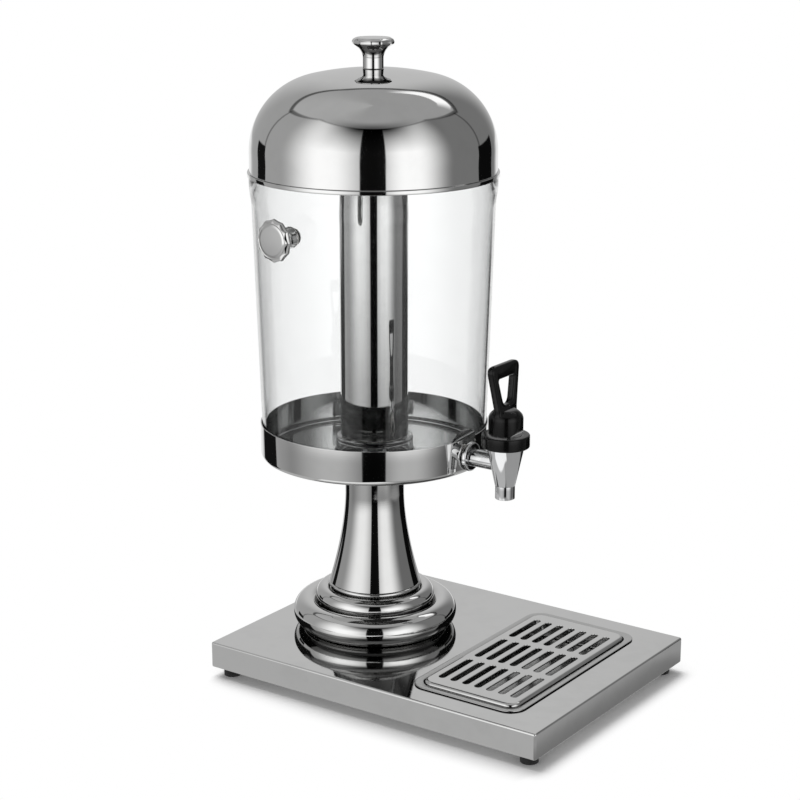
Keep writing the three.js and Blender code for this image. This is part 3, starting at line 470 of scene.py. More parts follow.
class Graph:
    """Adds nodes to one node tree and links them as they are made."""

    def __init__(self, tree: NodeTree) -> None:
        """Keeps the tree."""
        self.tree = tree

    def put(self, socket: NodeSocket, value: SocketValue) -> None:
        """Links a socket to another, or sets its value.

        Args:
            socket: input that is fed.
            value: its source or its value.
        """
        if isinstance(value, NodeSocket):
            self.tree.links.new(value, socket)
        else:
            socket.default_value = value

    def node(self, kind: str, inputs: Mapping[Union[str, int], SocketValue] | None = None,
             **settings: object) -> Node:
        """Adds a node.

        Args:
            kind: type of the node, without the word ShaderNode in front.
            inputs: values or sources of the inputs, by name or place.
            settings: the node's own settings.

        Returns:
            The new node.
        """
        node = self.tree.nodes.new("ShaderNode" + kind)
        for name, value in settings.items():
            setattr(node, name, value)
        for key, value in (inputs or {}).items():
            self.put(node.inputs[key], value)
        return node

    def math(self, operation: str, *values: SocketValue) -> NodeSocket:
        """Adds a Math node and gives back its result."""
        return self.node("Math", dict(enumerate(values)), operation=operation).outputs[0]

    def plus(self, one: SocketValue, other: SocketValue) -> NodeSocket:
        """Sum of two values."""
        return self.math("ADD", one, other)

    def less(self, one: SocketValue, other: SocketValue) -> NodeSocket:
        """First value less the second."""
        return self.math("SUBTRACT", one, other)

    def times(self, one: SocketValue, other: SocketValue) -> NodeSocket:
        """Product of two values."""
        return self.math("MULTIPLY", one, other)

    def unsigned(self, value: SocketValue) -> NodeSocket:
        """Size of a value without its sign."""
        return self.math("ABSOLUTE", value)

    def above(self, value: SocketValue, limit: float) -> NodeSocket:
        """1 where a value is above a limit, and 0 elsewhere."""
        return self.math("GREATER_THAN", value, limit)

    def dimmed(self, value: SocketValue, share: SocketValue) -> NodeSocket:
        """Value with a share of itself taken off."""
        return self.times(value, self.less(1.0, share))

    def toward(self, value: SocketValue, goal: SocketValue, share: SocketValue) -> NodeSocket:
        """Value moved a share of the way to a goal."""
        return self.plus(value, self.times(share, self.less(goal, value)))

    def along(self, value: SocketValue, slope: Slope) -> NodeSocket:
        """Maps a value by a slope.

        Args:
            value: what is mapped.
            slope: the two ranges.

        Returns:
            The mapped value.
        """
        node = self.node("MapRange", {"Value": value, "From Min": slope.start, "From Max": slope.end,
                                      "To Min": slope.low, "To Max": slope.high},
                         interpolation_type="SMOOTHSTEP" if slope.smooth else "LINEAR")
        return node.outputs["Result"]

    def within(self, value: SocketValue, band: Band) -> NodeSocket:
        """Mask of a band."""
        return self.times(self.along(value, Slope(band.start - band.soft, band.start)),
                          self.along(value, Slope(band.end + band.soft, band.end)))

    def mix(self, share: SocketValue, one: SocketValue, other: SocketValue) -> NodeSocket:
        """Mixes two colours.

        Args:
            share: share of the second colour.
            one: first colour.
            other: second colour.

        Returns:
            The mixed colour.
        """
        node = self.node("Mix", data_type="RGBA")
        self.put(node.inputs[0], share)
        self.put(node.inputs[6], one)
        self.put(node.inputs[7], other)
        return node.outputs[2]

    def scaled(self, colour: SocketValue, by: SocketValue) -> NodeSocket:
        """Colour multiplied by a level or by another colour."""
        return self.node("VectorMath", {0: colour, 1: by}, operation="MULTIPLY").outputs[0]


class Effect:
    """Surface effect that several finishes share, as a shader node group that is built once."""

    name: str
    output: str

    def fill(self, graph: Graph, place: NodeSocket, scale: NodeSocket) -> NodeSocket:
        """Adds the nodes inside the group.

        Args:
            graph: graph of the group.
            place: coordinates that the group takes in.
            scale: scale that the group takes in.

        Returns:
            What the group puts out.
        """
        raise NotImplementedError

    def group(self) -> NodeTree:
        """Gives the group, built on first use.

        Returns:
            The group.
        """
        if self.name in bpy.data.node_groups:
            return bpy.data.node_groups[self.name]
        tree = bpy.data.node_groups.new(self.name, "ShaderNodeTree")
        for name, way, kind in (("Vector", "INPUT", "Vector"), ("Scale", "INPUT", "Float"),
                                (self.output, "OUTPUT", "Float")):
            tree.interface.new_socket(name, in_out=way, socket_type="NodeSocket" + kind)
        source = tree.nodes.new("NodeGroupInput")
        target = tree.nodes.new("NodeGroupOutput")
        graph = Graph(tree)
        result = self.fill(graph, source.outputs["Vector"], source.outputs["Scale"])
        graph.put(target.inputs[self.output], result)
        return tree

    def placed(self, graph: Graph, place: NodeSocket, scale: float) -> NodeSocket:
        """Places the group in a material.

        Args:
            graph: graph of the material.
            place: coordinates on the piece.
            scale: scale of the pattern.

        Returns:
            The group's mask or height.
        """
        node = graph.node("Group", {"Vector": place, "Scale": scale}, node_tree=self.group())
        return node.outputs[self.output]


@dataclass(frozen=True)
class WipingSmudges(Effect):
    """Soft patches left by wiping, from 0 to 1."""

    name: str = "wiping smudges"
    output: str = "Mask"
    broad_detail: float = 3.0
    broad_roughness: float = 0.55
    drift: float = 0.8
    finer: float = 5.3
    fine_detail: float = 4.0
    shown: Slope = Slope(0.18, 0.42)

    def fill(self, graph: Graph, place: NodeSocket, scale: NodeSocket) -> NodeSocket:
        """Breaks up broad patches with finer ones.

        Args:
            graph: graph of the group.
            place: coordinates.
            scale: scale of the broad patches.

        Returns:
            The mask.
        """
        broad = graph.node("TexNoise", {"Vector": place, "Scale": scale, "Detail": self.broad_detail,
                                        "Roughness": self.broad_roughness, "Distortion": self.drift})
        small = graph.node("TexNoise", {"Vector": place, "Scale": graph.times(scale, self.finer),
                                        "Detail": self.fine_detail})
        return graph.along(graph.times(broad.outputs["Fac"], small.outputs["Fac"]), self.shown)


@dataclass(frozen=True)
class SpinningLines(Effect):
    """Fine circular lines that spinning and polishing leave round the Z axis."""

    name: str = "spinning lines"
    output: str = "Height"
    detail: float = 2.0

    def fill(self, graph: Graph, place: NodeSocket, scale: NodeSocket) -> NodeSocket:
        """Reads a noise by distance from the axis and height.

        Args:
            graph: graph of the group.
            place: coordinates, from the axis.
            scale: scale of the lines.

        Returns:
            The height.
        """
        parts = graph.node("SeparateXYZ", {0: place})
        across, along = (graph.math("POWER", parts.outputs[side], 2.0) for side in ("X", "Y"))
        radius = graph.math("SQRT", graph.plus(across, along))
        turned = graph.node("CombineXYZ", {"X": radius, "Y": parts.outputs["Z"], "Z": 0.0})
        lines = graph.node("TexNoise", {"Vector": turned.outputs[0], "Scale": scale, "Detail": self.detail})
        return lines.outputs["Fac"]


@dataclass(frozen=True)
class BrushingLines(Effect):
    """Straight brushing lines along the Y direction."""

    name: str = "brushing lines"
    output: str = "Height"
    stretch: float = 0.02
    detail: float = 5.0
    roughness: float = 0.7

    def fill(self, graph: Graph, place: NodeSocket, scale: NodeSocket) -> NodeSocket:
        """Draws a noise out into lines.

        Args:
            graph: graph of the group.
            place: coordinates.
            scale: scale of the lines.

        Returns:
            The height.
        """
        drawn = graph.node("Mapping", {"Vector": place, "Scale": (1.0, self.stretch, 1.0)})
        lines = graph.node("TexNoise", {"Vector": drawn.outputs[0], "Scale": scale, "Detail": self.detail,
                                        "Roughness": self.roughness})
        return lines.outputs["Fac"]


@dataclass(frozen=True)
class MouldedGrain(Effect):
    """Even fine grain of a moulded or cast surface."""

    name: str = "moulded grain"
    output: str = "Height"
    detail: float = 3.0

    def fill(self, graph: Graph, place: NodeSocket, scale: NodeSocket) -> NodeSocket:
        """Adds soft cells and a noise.

        Args:
            graph: graph of the group.
            place: coordinates.
            scale: scale of the grain.

        Returns:
            The height.
        """
        cells = graph.node("TexVoronoi", {"Vector": place, "Scale": scale}, feature="SMOOTH_F1")
        cloud = graph.node("TexNoise", {"Vector": place, "Scale": scale, "Detail": self.detail})
        return graph.plus(cells.outputs["Distance"], cloud.outputs["Fac"])


SMUDGES = WipingSmudges()


class Lay(Enum):
    """What the fine relief of a metal's surface comes from."""

    SPUN = SpinningLines()
    BRUSHED = BrushingLines()
    CAST = MouldedGrain()


@dataclass(frozen=True)
class Finish:
    """One surface finish, made as a material with object coordinates."""

    name: str
    slot: Slot
    colour: tuple[float, float, float]
    roughness: float

    def surface(self) -> tuple[Material, Graph, Node, NodeSocket]:
        """Starts the material.

        Returns:
            The material, its graph, its Principled node and its object coordinates.
        """
        material = bpy.data.materials.new(self.name)
        material.use_nodes = True
        graph = Graph(material.node_tree)
        shader = material.node_tree.nodes["Principled BSDF"]
        return material, graph, shader, graph.node("TexCoord").outputs["Object"]

    def bump(self, graph: Graph, shader: Node, height: SocketValue, strength: float, depth: float) -> None:
        """Feeds a height into the shader's normal.

        Args:
            graph: graph of the material.
            shader: its Principled node.
            height: the height.
            strength: how much of it shows.
            depth: height of one unit, in millimetres.
        """
        bump = graph.node("Bump", {"Height": height, "Strength": strength, "Distance": depth * MM})
        graph.put(shader.inputs["Normal"], bump.outputs["Normal"])

    def two_tone(self, graph: Graph, shader: Node, mask: SocketValue, depth: float) -> None:
        """Lets the colour drift towards a darker tone where a mask is high."""
        dark = tuple(part * (1 - depth) for part in self.colour)
        graph.put(shader.inputs["Base Color"], graph.mix(mask, (*self.colour, 1.0), (*dark, 1.0)))

    def roughen(self, graph: Graph, shader: Node, mask: SocketValue, by: float) -> None:
        """Makes the surface rougher where a mask is high."""
        graph.put(shader.inputs["Roughness"], graph.plus(graph.times(mask, by), self.roughness))


@dataclass(frozen=True)
class Metal(Finish):
    """Bare or plated metal with fine lines and wiping smudges."""

    lay: Lay = Lay.SPUN
    lines: float = 900.0
    line_strength: float = 0.02
    line_depth: float = 0.2
    smudge: float = 0.03
    smudge_scale: float = 14.0
    smudge_tone: float = 0.035
    axis: Vector = field(default_factory=lambda: COLUMN)

    def make(self) -> Material:
        """Builds the material.

        Returns:
            The material.
        """
        material, graph, shader, place = self.surface()
        shader.inputs["Metallic"].default_value = 1.0
        centred = graph.node("Mapping", {"Vector": place, "Location": tuple(-self.axis * MM)}).outputs[0]
        mask = SMUDGES.placed(graph, centred, self.smudge_scale)
        self.two_tone(graph, shader, mask, self.smudge_tone)
        self.roughen(graph, shader, mask, self.smudge)
        height = self.lay.value.placed(graph, centred, self.lines)
        self.bump(graph, shader, height, self.line_strength, self.line_depth)
        return material


@dataclass(frozen=True)
class ClearPlastic(Finish):
    """Clear moulded plastic with faint smudges."""

    bend: float = 1.49
    smudge_scale: float = 9.0
    smudge_tone: float = 0.012

    def make(self) -> Material:
        """Builds the material.

        Returns:
            The material.
        """
        material, graph, shader, place = self.surface()
        shader.inputs["Transmission Weight"].default_value = 1.0
        shader.inputs["IOR"].default_value = self.bend
        mask = SMUDGES.placed(graph, place, self.smudge_scale)
        self.two_tone(graph, shader, mask, self.smudge_tone)
        graph.put(shader.inputs["Roughness"], graph.times(mask, self.roughness))
        return material


@dataclass(frozen=True)
class Moulded(Finish):
    """Moulded plastic, rubber or silicone with a fine grain."""

    grain: float = 1400.0
    grain_strength: float = 0.05
    grain_depth: float = 0.05
    gloss: float = 0.0
    gloss_roughness: float = 0.03
    patch: float = 0.04
    patch_scale: float = 40.0
    patch_tone: float = 0.25
    specular: float = 0.5

    def make(self) -> Material:
        """Builds the material.

        Returns:
            The material.
        """
        material, graph, shader, place = self.surface()
        shader.inputs["Specular IOR Level"].default_value = self.specular
        shader.inputs["Coat Weight"].default_value = self.gloss
        shader.inputs["Coat Roughness"].default_value = self.gloss_roughness
        mask = SMUDGES.placed(graph, place, self.patch_scale)
        self.two_tone(graph, shader, mask, self.patch_tone)
        self.roughen(graph, shader, mask, self.patch)
        height = Lay.CAST.value.placed(graph, place, self.grain)
        self.bump(graph, shader, height, self.grain_strength, self.grain_depth)
        return material


@dataclass
class Finishes:
    """All finishes of the dispenser, made once."""

    made: dict[str, Material] = field(default_factory=dict)

    def get(self, finish: Union[Metal, ClearPlastic, Moulded]) -> Material:
        """Gives the material of a finish, made on first use.

        Args:
            finish: the finish.

        Returns:
            Its material.
        """
        if finish.name not in self.made:
            self.made[finish.name] = finish.make()
        return self.made[finish.name]


STEEL_GREY = (0.80, 0.80, 0.795)
# Grey of the satin steel, and also of the neck's mirror steel, where the darker grey is painted shade.
SATIN_AND_SHADED_GREY = (0.66, 0.66, 0.655)

MIRROR_SPUN = Metal("mirror steel, spun", Slot.POLISHED, STEEL_GREY, 0.035)
# The neck's mirror steel is a darker copy of the spun mirror steel, as painted shade.
MIRROR_NECK_PAINTED_SHADE = Metal("mirror steel, neck", Slot.POLISHED, SATIN_AND_SHADED_GREY, 0.035)
MIRROR_SHEET = Metal("mirror steel, sheet", Slot.POLISHED, STEEL_GREY, 0.04, lay=Lay.BRUSHED, lines=500.0,
                     line_strength=0.03)
KNOB_STEEL = Metal("knob steel", Slot.POLISHED, STEEL_GREY, 0.03, line_strength=0.01)
FAUCET_CHROME = Metal("faucet chrome", Slot.CHROME, (0.88, 0.885, 0.89), 0.03, line_strength=0.01, axis=FAUCET)
TRAY_STEEL = Metal("satin steel, tray", Slot.SATIN, (0.6, 0.6, 0.595), 0.17, lay=Lay.BRUSHED, lines=600.0,
                   line_strength=0.06)
SATIN_STEEL = Metal("satin steel", Slot.SATIN, SATIN_AND_SHADED_GREY, 0.24, lay=Lay.BRUSHED, lines=700.0, line_strength=0.12)
ZINC_STEEL = Metal("zinc plated steel", Slot.ZINC, (0.56, 0.57, 0.58), 0.36, lay=Lay.CAST, line_strength=0.1)
CLEAR_TANK = ClearPlastic("clear tank plastic", Slot.CLEAR, (0.985, 0.99, 0.99), 0.02)
GLOSS_BLACK = Moulded("gloss black plastic", Slot.BLACK, (0.004, 0.004, 0.004), 0.18, gloss=0.25, specular=0.2)
BLACK_RUBBER = Moulded("black rubber", Slot.RUBBER, (0.02, 0.02, 0.021), 0.62, grain=2200.0, grain_strength=0.3,
                       patch=0.15)
PALE_SILICONE = Moulded("pale silicone", Slot.SILICONE, (0.72, 0.71, 0.68), 0.42, grain=1800.0,
                        grain_strength=0.15, patch=0.1)


@dataclass
class Assembly:
    """What the sub-assemblies share: their finishes and how a piece is taken up."""

    finishes: Finishes

    def take(self, name: str, bm: BMesh, body: Body, finish: Finish, *nodes: str) -> Object:
        """Makes a finished piece.

        Args:
            name: name of the piece.
            bm: its mesh, in millimetres.
            body: group that it moves with.
            finish: its finish.
            nodes: CAD nodes that it stands for.

        Returns:
            The piece.
        """
        return self.dress(make_object(name, bm), body, finish, *nodes)

    def dress(self, obj: Object, body: Body, finish: Finish, *nodes: str) -> Object:
        """Gives an object its finish and body, and hides the CAD nodes that it stands for.

        Args:
            obj: the object.
            body: group that it moves with.
            finish: its finish.
            nodes: CAD nodes that it stands for.

        Returns:
            The same object.
        """
        obj.data.materials.clear()
        obj.data.materials.append(self.finishes.get(finish))
        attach(obj, body.value)
        if nodes:
            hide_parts(*nodes)
        LOG.info("%s: %d faces on %s", obj.name, len(obj.data.polygons), body.value)
        return obj

    def repaint(self, finish: Finish, *nodes: str) -> None:
        """Gives CAD nodes that stay a better material.

        Args:
            finish: the finish.
            nodes: names of the nodes.
        """
        for node in nodes:
            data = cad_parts[node].data
            data.materials.clear()
            data.materials.append(self.finishes.get(finish))
            LOG.info("%s: kept", node)


@dataclass
class Base(Assembly):
    """Folded base box on four rubber feet, with the stiffener inside."""

    sheet: float = 1.2
    fold: float = 1.6
    lip: float = 24.0
    corner: float = 2.5
    rod_hole: float = 4.5
    mouth_width: float = 104.0
    mouth_length: float = 203.0
    mouth_corner: float = 14.5
    foot_ease: float = 0.9
    foot_taper: float = 0.7
    foot_recess: float = 4.6
    recess_depth: float = 4.2
    foot_bore: float = 2.3

    def build(self) -> None:
        """Builds and dresses the base."""
        self.build_plate()
        self.build_feet()
        self.repaint(ZINC_STEEL, "backing_plate", "column_washer_low", "column_nut_low", "column_rod",
                     "column_washer_top", "column_nut_top")

    def build_plate(self) -> None:
        """Builds the folded box with its return lip and its openings."""
        box = Extent.of("base_plate")
        size = box.high - box.low
        outer = Ring(size.x, size.y, self.corner, box.high.z)
        bottom = box.low.z
        under = box.high.z - self.sheet
        rings = eased_step(outer, self.fold)
        rings += eased_step(outer.grown(0.0, bottom), self.sheet, turn_down=False)
        rings += [outer.grown(-self.lip, bottom), outer.grown(-self.lip, bottom + self.sheet)]
        rings += [outer.grown(-self.sheet, bottom + self.sheet), outer.grown(-self.sheet, under)]
        mouth = Ring(self.mouth_width, self.mouth_length, self.mouth_corner, box.high.z)
        centre = Extent.of("drip_tray").middle
        tray_hole = [mouth.points(centre), mouth.grown(0.0, under).points(centre)]
        rod_hole = [[Vector((COLUMN.x + x, COLUMN.y + y, height))
                     for x, y in arc((0, 0), self.rod_hole, 0, FULL_TURN, 24)[:-1]] for height in (box.high.z, under)]
        shell = lofted(rings, box.middle, [tray_hole, rod_hole])
        self.take("base_sheet", shell, Body.BASE, MIRROR_SHEET, "base_plate")

    def build_feet(self) -> None:
        """Builds the four rubber feet and dresses their screws."""
        for number in range(1, 5):
            box = Extent.of(f"foot_{number}")
            radius = (box.high.x - box.low.x) / 2
            top = box.high.z
            recess, depth, bore = self.foot_recess, self.recess_depth, self.foot_bore
            profile = eased([
                (recess, 0, 0.4), (radius, 0, self.foot_ease), (radius, depth, 0.6),
                (radius - self.foot_taper, top, 0.5), (bore, top, 0), (bore, depth, 0), (recess, depth, 0.3)])
            foot = moved(spun(profile, Roundness.SMALL), Vector((box.middle.x, box.middle.y, 0)))
            self.take(f"rubber_foot_{number}", foot, Body.BASE, BLACK_RUBBER, f"foot_{number}")
            self.repaint(ZINC_STEEL, f"foot_screw_{number}", f"foot_nut_{number}")


@dataclass
class DripTray(Assembly):
    """Pressed tray with its slotted grille."""

    sheet: float = 1.0
    mouth_width: float = 99.4
    mouth_length: float = 198.4
    mouth_corner: float = 12.2
    flange_corner: float = 16.0
    ledge: float = 3.5
    ledge_depth: float = 6.0
    well_bend: float = 3.0
    well_fold: float = 0.8
    grille_sheet: float = 1.2
    grille_edge: float = 3.2
    clearance: float = 0.8
    slot_width: float = 6.4
    slot_length: float = 50.0
    slot_pitch: float = 12.4
    row_pitch: float = 58.0
    slots: int = 7
    rows: int = 3

    def build(self) -> None:
        """Builds and dresses the tray and the grille."""
        self.build_tray()
        self.build_grille()

    def build_tray(self) -> None:
        """Builds the tray: well, ledge, mouth and flange."""
        box = Extent.of("drip_tray")
        size = box.high - box.low
        flange_top = box.high.z
        plate_top = flange_top - self.sheet
        ledge_top = Extent.of("base_plate").high.z - self.ledge_depth
        floor = box.low.z
        mouth = Ring(self.mouth_width, self.mouth_length, self.mouth_corner, flange_top)
        well = mouth.grown(-self.ledge, ledge_top)
        flange = Ring(size.x, size.y, self.flange_corner, flange_top)
        skin, inner_floor, bend, fold = self.sheet, floor + self.sheet, self.well_bend, self.well_fold
        outside = [(well, skin - bend, floor), (well, skin - fold, floor + fold), (well, skin, floor + bend),
                   (well, skin, ledge_top - skin), (mouth, skin, ledge_top - skin), (mouth, skin, plate_top)]
        edge = [(flange, -1.4, plate_top), (flange, 0.0, plate_top + 0.45), (flange, 0.0, flange_top - 0.3),
                (flange, -0.1, flange_top - 0.1), (flange, -0.35, flange_top), (flange, -0.8, flange_top)]
        rim = [(mouth, 0.9, flange_top), (mouth, 0.25, flange_top - 0.25), (mouth, 0.0, flange_top - 0.9)]
        step = [(mouth, 0.0, ledge_top + 0.5), (mouth, -0.5, ledge_top), (well, 0.4, ledge_top),
                (well, 0.0, ledge_top - 0.4)]
        inside = [(well, 0.0, inner_floor + 2.0), (well, -0.6, inner_floor + 0.6), (well, -2.0, inner_floor)]
        rings = [ring.grown(out, height) for ring, out, height in outside + edge + rim + step + inside]
        self.take("tray_pan", lofted(rings, box.middle), Body.TRAY, TRAY_STEEL, "drip_tray")

    def slot_loop(self, centre: Vector, grow: float, height: float) -> list[Vector]:
        """One round-ended slot outline.

        Args:
            centre: middle of the slot.
            grow: how far the outline is moved out.
            height: height of the outline.

        Returns:
            The points of the outline.
        """
        radius = self.slot_width / 2 + grow
        straight = self.slot_length / 2 - self.slot_width / 2
        upper = arc((centre.x, centre.y + straight), radius, 0, math.pi, 10)
        lower = arc((centre.x, centre.y - straight), radius, math.pi, FULL_TURN, 10)
        return [Vector((x, y, height)) for x, y in upper + lower]

    def build_grille(self) -> None:
        """Builds the raised panel with its skirt and slots."""
        box = Extent.of("drip_grille")
        size = box.high - box.low
        top, foot = box.high.z, box.low.z
        under = top - self.grille_sheet
        outer = Ring(size.x, size.y, self.mouth_corner - self.clearance, top)
        inner = outer.grown(-self.grille_sheet, foot)
        rings = eased_step(outer, self.grille_edge, steps=6)
        rings += [outer.grown(0.0, foot), inner, inner.grown(0.0, under - 0.8), inner.grown(-0.8, under)]
        lips = ((0.8, top), (0.45, top), (0.12, top - 0.15), (0.0, top - 0.45), (0.0, under))
        holes = []
        for row in range(self.rows):
            for index in range(self.slots):
                centre = box.middle + Vector(((index - (self.slots - 1) / 2) * self.slot_pitch,
                                              (row - (self.rows - 1) / 2) * self.row_pitch, 0))
                holes.append([self.slot_loop(centre, out, height) for out, height in lips])
        self.take("tray_grille", lofted(rings, box.middle, holes), Body.GRILLE, MIRROR_SHEET, "drip_grille")


@dataclass
class Pedestal(Assembly):
    """Two spun rings, a lip ring, a trumpet neck and the tank's cradle."""

    sheet: float = 1.2
    bore: float = 4.5
    lower_circle: float = 63.0
    lower_tube: float = 13.5
    lower_wrap: float = 150.0
    lower_flange: float = 9.0
    upper_circle: float = 46.8
    upper_tube: float = 8.8
    upper_wrap: float = 140.0
    upper_flange: float = 6.0
    arc_steps: int = 48
    collar_bore: float = 30.0
    neck_foot: float = 42.3
    neck_top: float = 27.4
    flare: float = 87.0
    flare_power: float = 1.75
    bead_radius: float = 43.5
    bead_height: float = 4.1
    cradle_radius: float = 104.5
    cradle_sheet: float = 1.0
    cradle_ease: float = 5.0
    notch: float = 10.7

    def build(self) -> None:
        """Builds and dresses the pedestal."""
        self.build_ring("lower", self.lower_circle, self.lower_tube, self.lower_wrap, self.lower_flange)
        self.build_ring("upper", self.upper_circle, self.upper_tube, self.upper_wrap, self.upper_flange)
        self.build_collar()
        self.build_neck()
        self.build_cradle()

    def build_ring(self, name: str, circle: float, tube: float, wrap: float, flange: float) -> None:
        """Builds one hollow spun ring.

        Args:
            name: lower or upper.
            circle: radius of the circle that the wall's arc is centred on.
            tube: radius of the wall's arc.
            wrap: how far the arc goes round from the outward direction, in degrees.
            flange: how far the sheet runs in under the arc.
        """
        node = f"pedestal_{name}_ring"
        foot = Extent.of(node).low.z
        centre = (circle, foot + tube)
        inner = tube - self.sheet
        end = math.radians(wrap)
        web_top = centre[1] + tube * math.sin(end)
        inner_end = math.pi - math.asin((web_top - self.sheet - centre[1]) / inner)
        profile = [(circle - flange, foot)]
        profile += arc(centre, tube, -QUARTER, end, self.arc_steps)
        profile += [(self.bore, web_top), (self.bore, web_top - self.sheet)]
        profile += arc(centre, inner, inner_end, -QUARTER, self.arc_steps)
        profile += [(circle - flange, foot + self.sheet)]
        self.take(f"{name}_ring", moved(spun(profile, Roundness.LARGE), COLUMN), Body.BASE, MIRROR_SPUN, node)

    def build_collar(self) -> None:
        """Builds the small bright ring under the neck."""
        box = Extent.of("pedestal_collar")
        bead = self.bead_height / 2
        bead_foot = box.high.z - self.bead_height
        spigot = self.upper_circle + self.upper_tube * math.cos(math.radians(self.upper_wrap)) - CLEARANCE
        profile = [(self.collar_bore, box.low.z), (spigot, box.low.z), (spigot, bead_foot)]
        profile += arc((self.bead_radius - bead, bead_foot + bead), bead, -QUARTER, QUARTER, 16)
        profile += [(self.collar_bore, box.high.z)]
        self.take("lip_ring", moved(spun(profile, Roundness.LARGE), COLUMN), Body.BASE, MIRROR_SPUN,
                  "pedestal_collar")

    def neck_radius(self, rise: float) -> float:
        """Outer radius of the neck at a rise above its foot."""
        share = max(0.0, 1 - rise / self.flare)
        return self.neck_top + (self.neck_foot - self.neck_top) * share ** self.flare_power

    def build_neck(self) -> None:
        """Builds the trumpet neck."""
        foot, top = NECK_BOX.low.z, NECK_BOX.high.z
        rises = [self.flare * step / self.arc_steps for step in range(self.arc_steps + 1)]
        outer = [(self.neck_radius(rise), foot + rise) for rise in rises]
        inner = [(radius - self.sheet, height) for radius, height in reversed(outer)]
        profile = outer + [(self.neck_top, top), (self.bore, top), (self.bore, top - self.sheet)]
        profile += [(self.neck_top - self.sheet, top - self.sheet)] + inner
        self.take("neck_trumpet", moved(spun(profile, Roundness.LARGE), COLUMN), Body.BASE, MIRROR_NECK_PAINTED_SHADE,
                  "pedestal_neck")

    def build_cradle(self) -> None:
        """Builds the shallow pan that holds the tank, with its notch for the faucet's shank."""
        box = Extent.of("tank_cradle")
        foot, top = box.low.z, box.high.z
        radius, inner = self.cradle_radius, self.cradle_radius - self.cradle_sheet
        ease = self.cradle_ease
        profile = eased([
            (self.bore, foot, 0), (radius, foot, ease), (radius, top, 0.35), (inner, top, 0.35),
            (inner, foot + self.cradle_sheet, ease - self.cradle_sheet), (self.bore, foot + self.cradle_sheet, 0)],
            steps=10)
        pan = make_object("cradle_pan", moved(spun(profile, Roundness.LARGE), COLUMN))
        shank = Extent.of("faucet_escutcheon").middle
        outline = arc((0.0, shank.z), self.notch, math.pi, FULL_TURN, 24)
        outline += [(self.notch, top + ease), (-self.notch, top + ease)]
        cutter = prism([(radius - ease, side, height) for side, height in outline], (2 * ease, 0, 0))
        cutter = make_object("notch_cutter", moved(cutter, COLUMN))
        self.dress(carved(pan, cutter, "DIFFERENCE"), Body.BASE, MIRROR_SPUN, "tank_cradle")


@dataclass
class Knob:
    """Mushroom knob: a stem that flares into a round head with a flat face."""

    stem: float = 9.3
    shoulder: float = 12.6
    head: float = 19.1
    face: float = 14.5
    bore: float = 2.7
    depth: float = 12.3
    stem_drop: float = 14.8
    shoulder_drop: float = 9.2
    head_drop: float = 3.9
    facet: float = FULL_TURN / 12
    facet_start: float = 0.4
    facet_run: float = 2.5
    facet_gain: float = 1.6

    def mesh(self, foot: float, height: float) -> BMesh:
        """Spins the knob about Z.

        Args:
            foot: where the knob starts along the axis.
            height: its length.

        Returns:
            The knob's mesh.
        """
        top = foot + height
        profile = eased([
            (self.bore, foot, 0), (self.stem + 0.2, foot, 0.2), (self.stem, foot + 1.2, 0.4),
            (self.stem, top - self.stem_drop, 4.0), (self.shoulder, top - self.shoulder_drop, 2.6),
            (self.head - 0.6, top - 5.6, 1.6), (self.head, top - self.head_drop, 1.2),
            (self.head - 1.0, top - 1.5, 1.1),
            (self.face + 0.9, top - 0.1, 0.9), (self.face, top - 0.7, 0.5), (self.face - 1.6, top, 0.9),
            (0, top, 0), (0, foot + self.depth, 0), (self.bore, foot + self.depth, 0)], closed=False)
        bm = spun(profile, Roundness.MEDIUM)
        for vert in bm.verts:
            beyond = math.hypot(vert.co.x, vert.co.y) - self.face - self.facet_start
            if beyond > 0:
                turn = math.atan2(vert.co.y, vert.co.x) % self.facet - self.facet / 2
                flat = math.cos(self.facet / 2) / math.cos(turn)
                share = min(1.0, beyond / self.facet_run)
                vert.co.xy *= 1 - (1 - flat) * share * self.facet_gain
        return bm


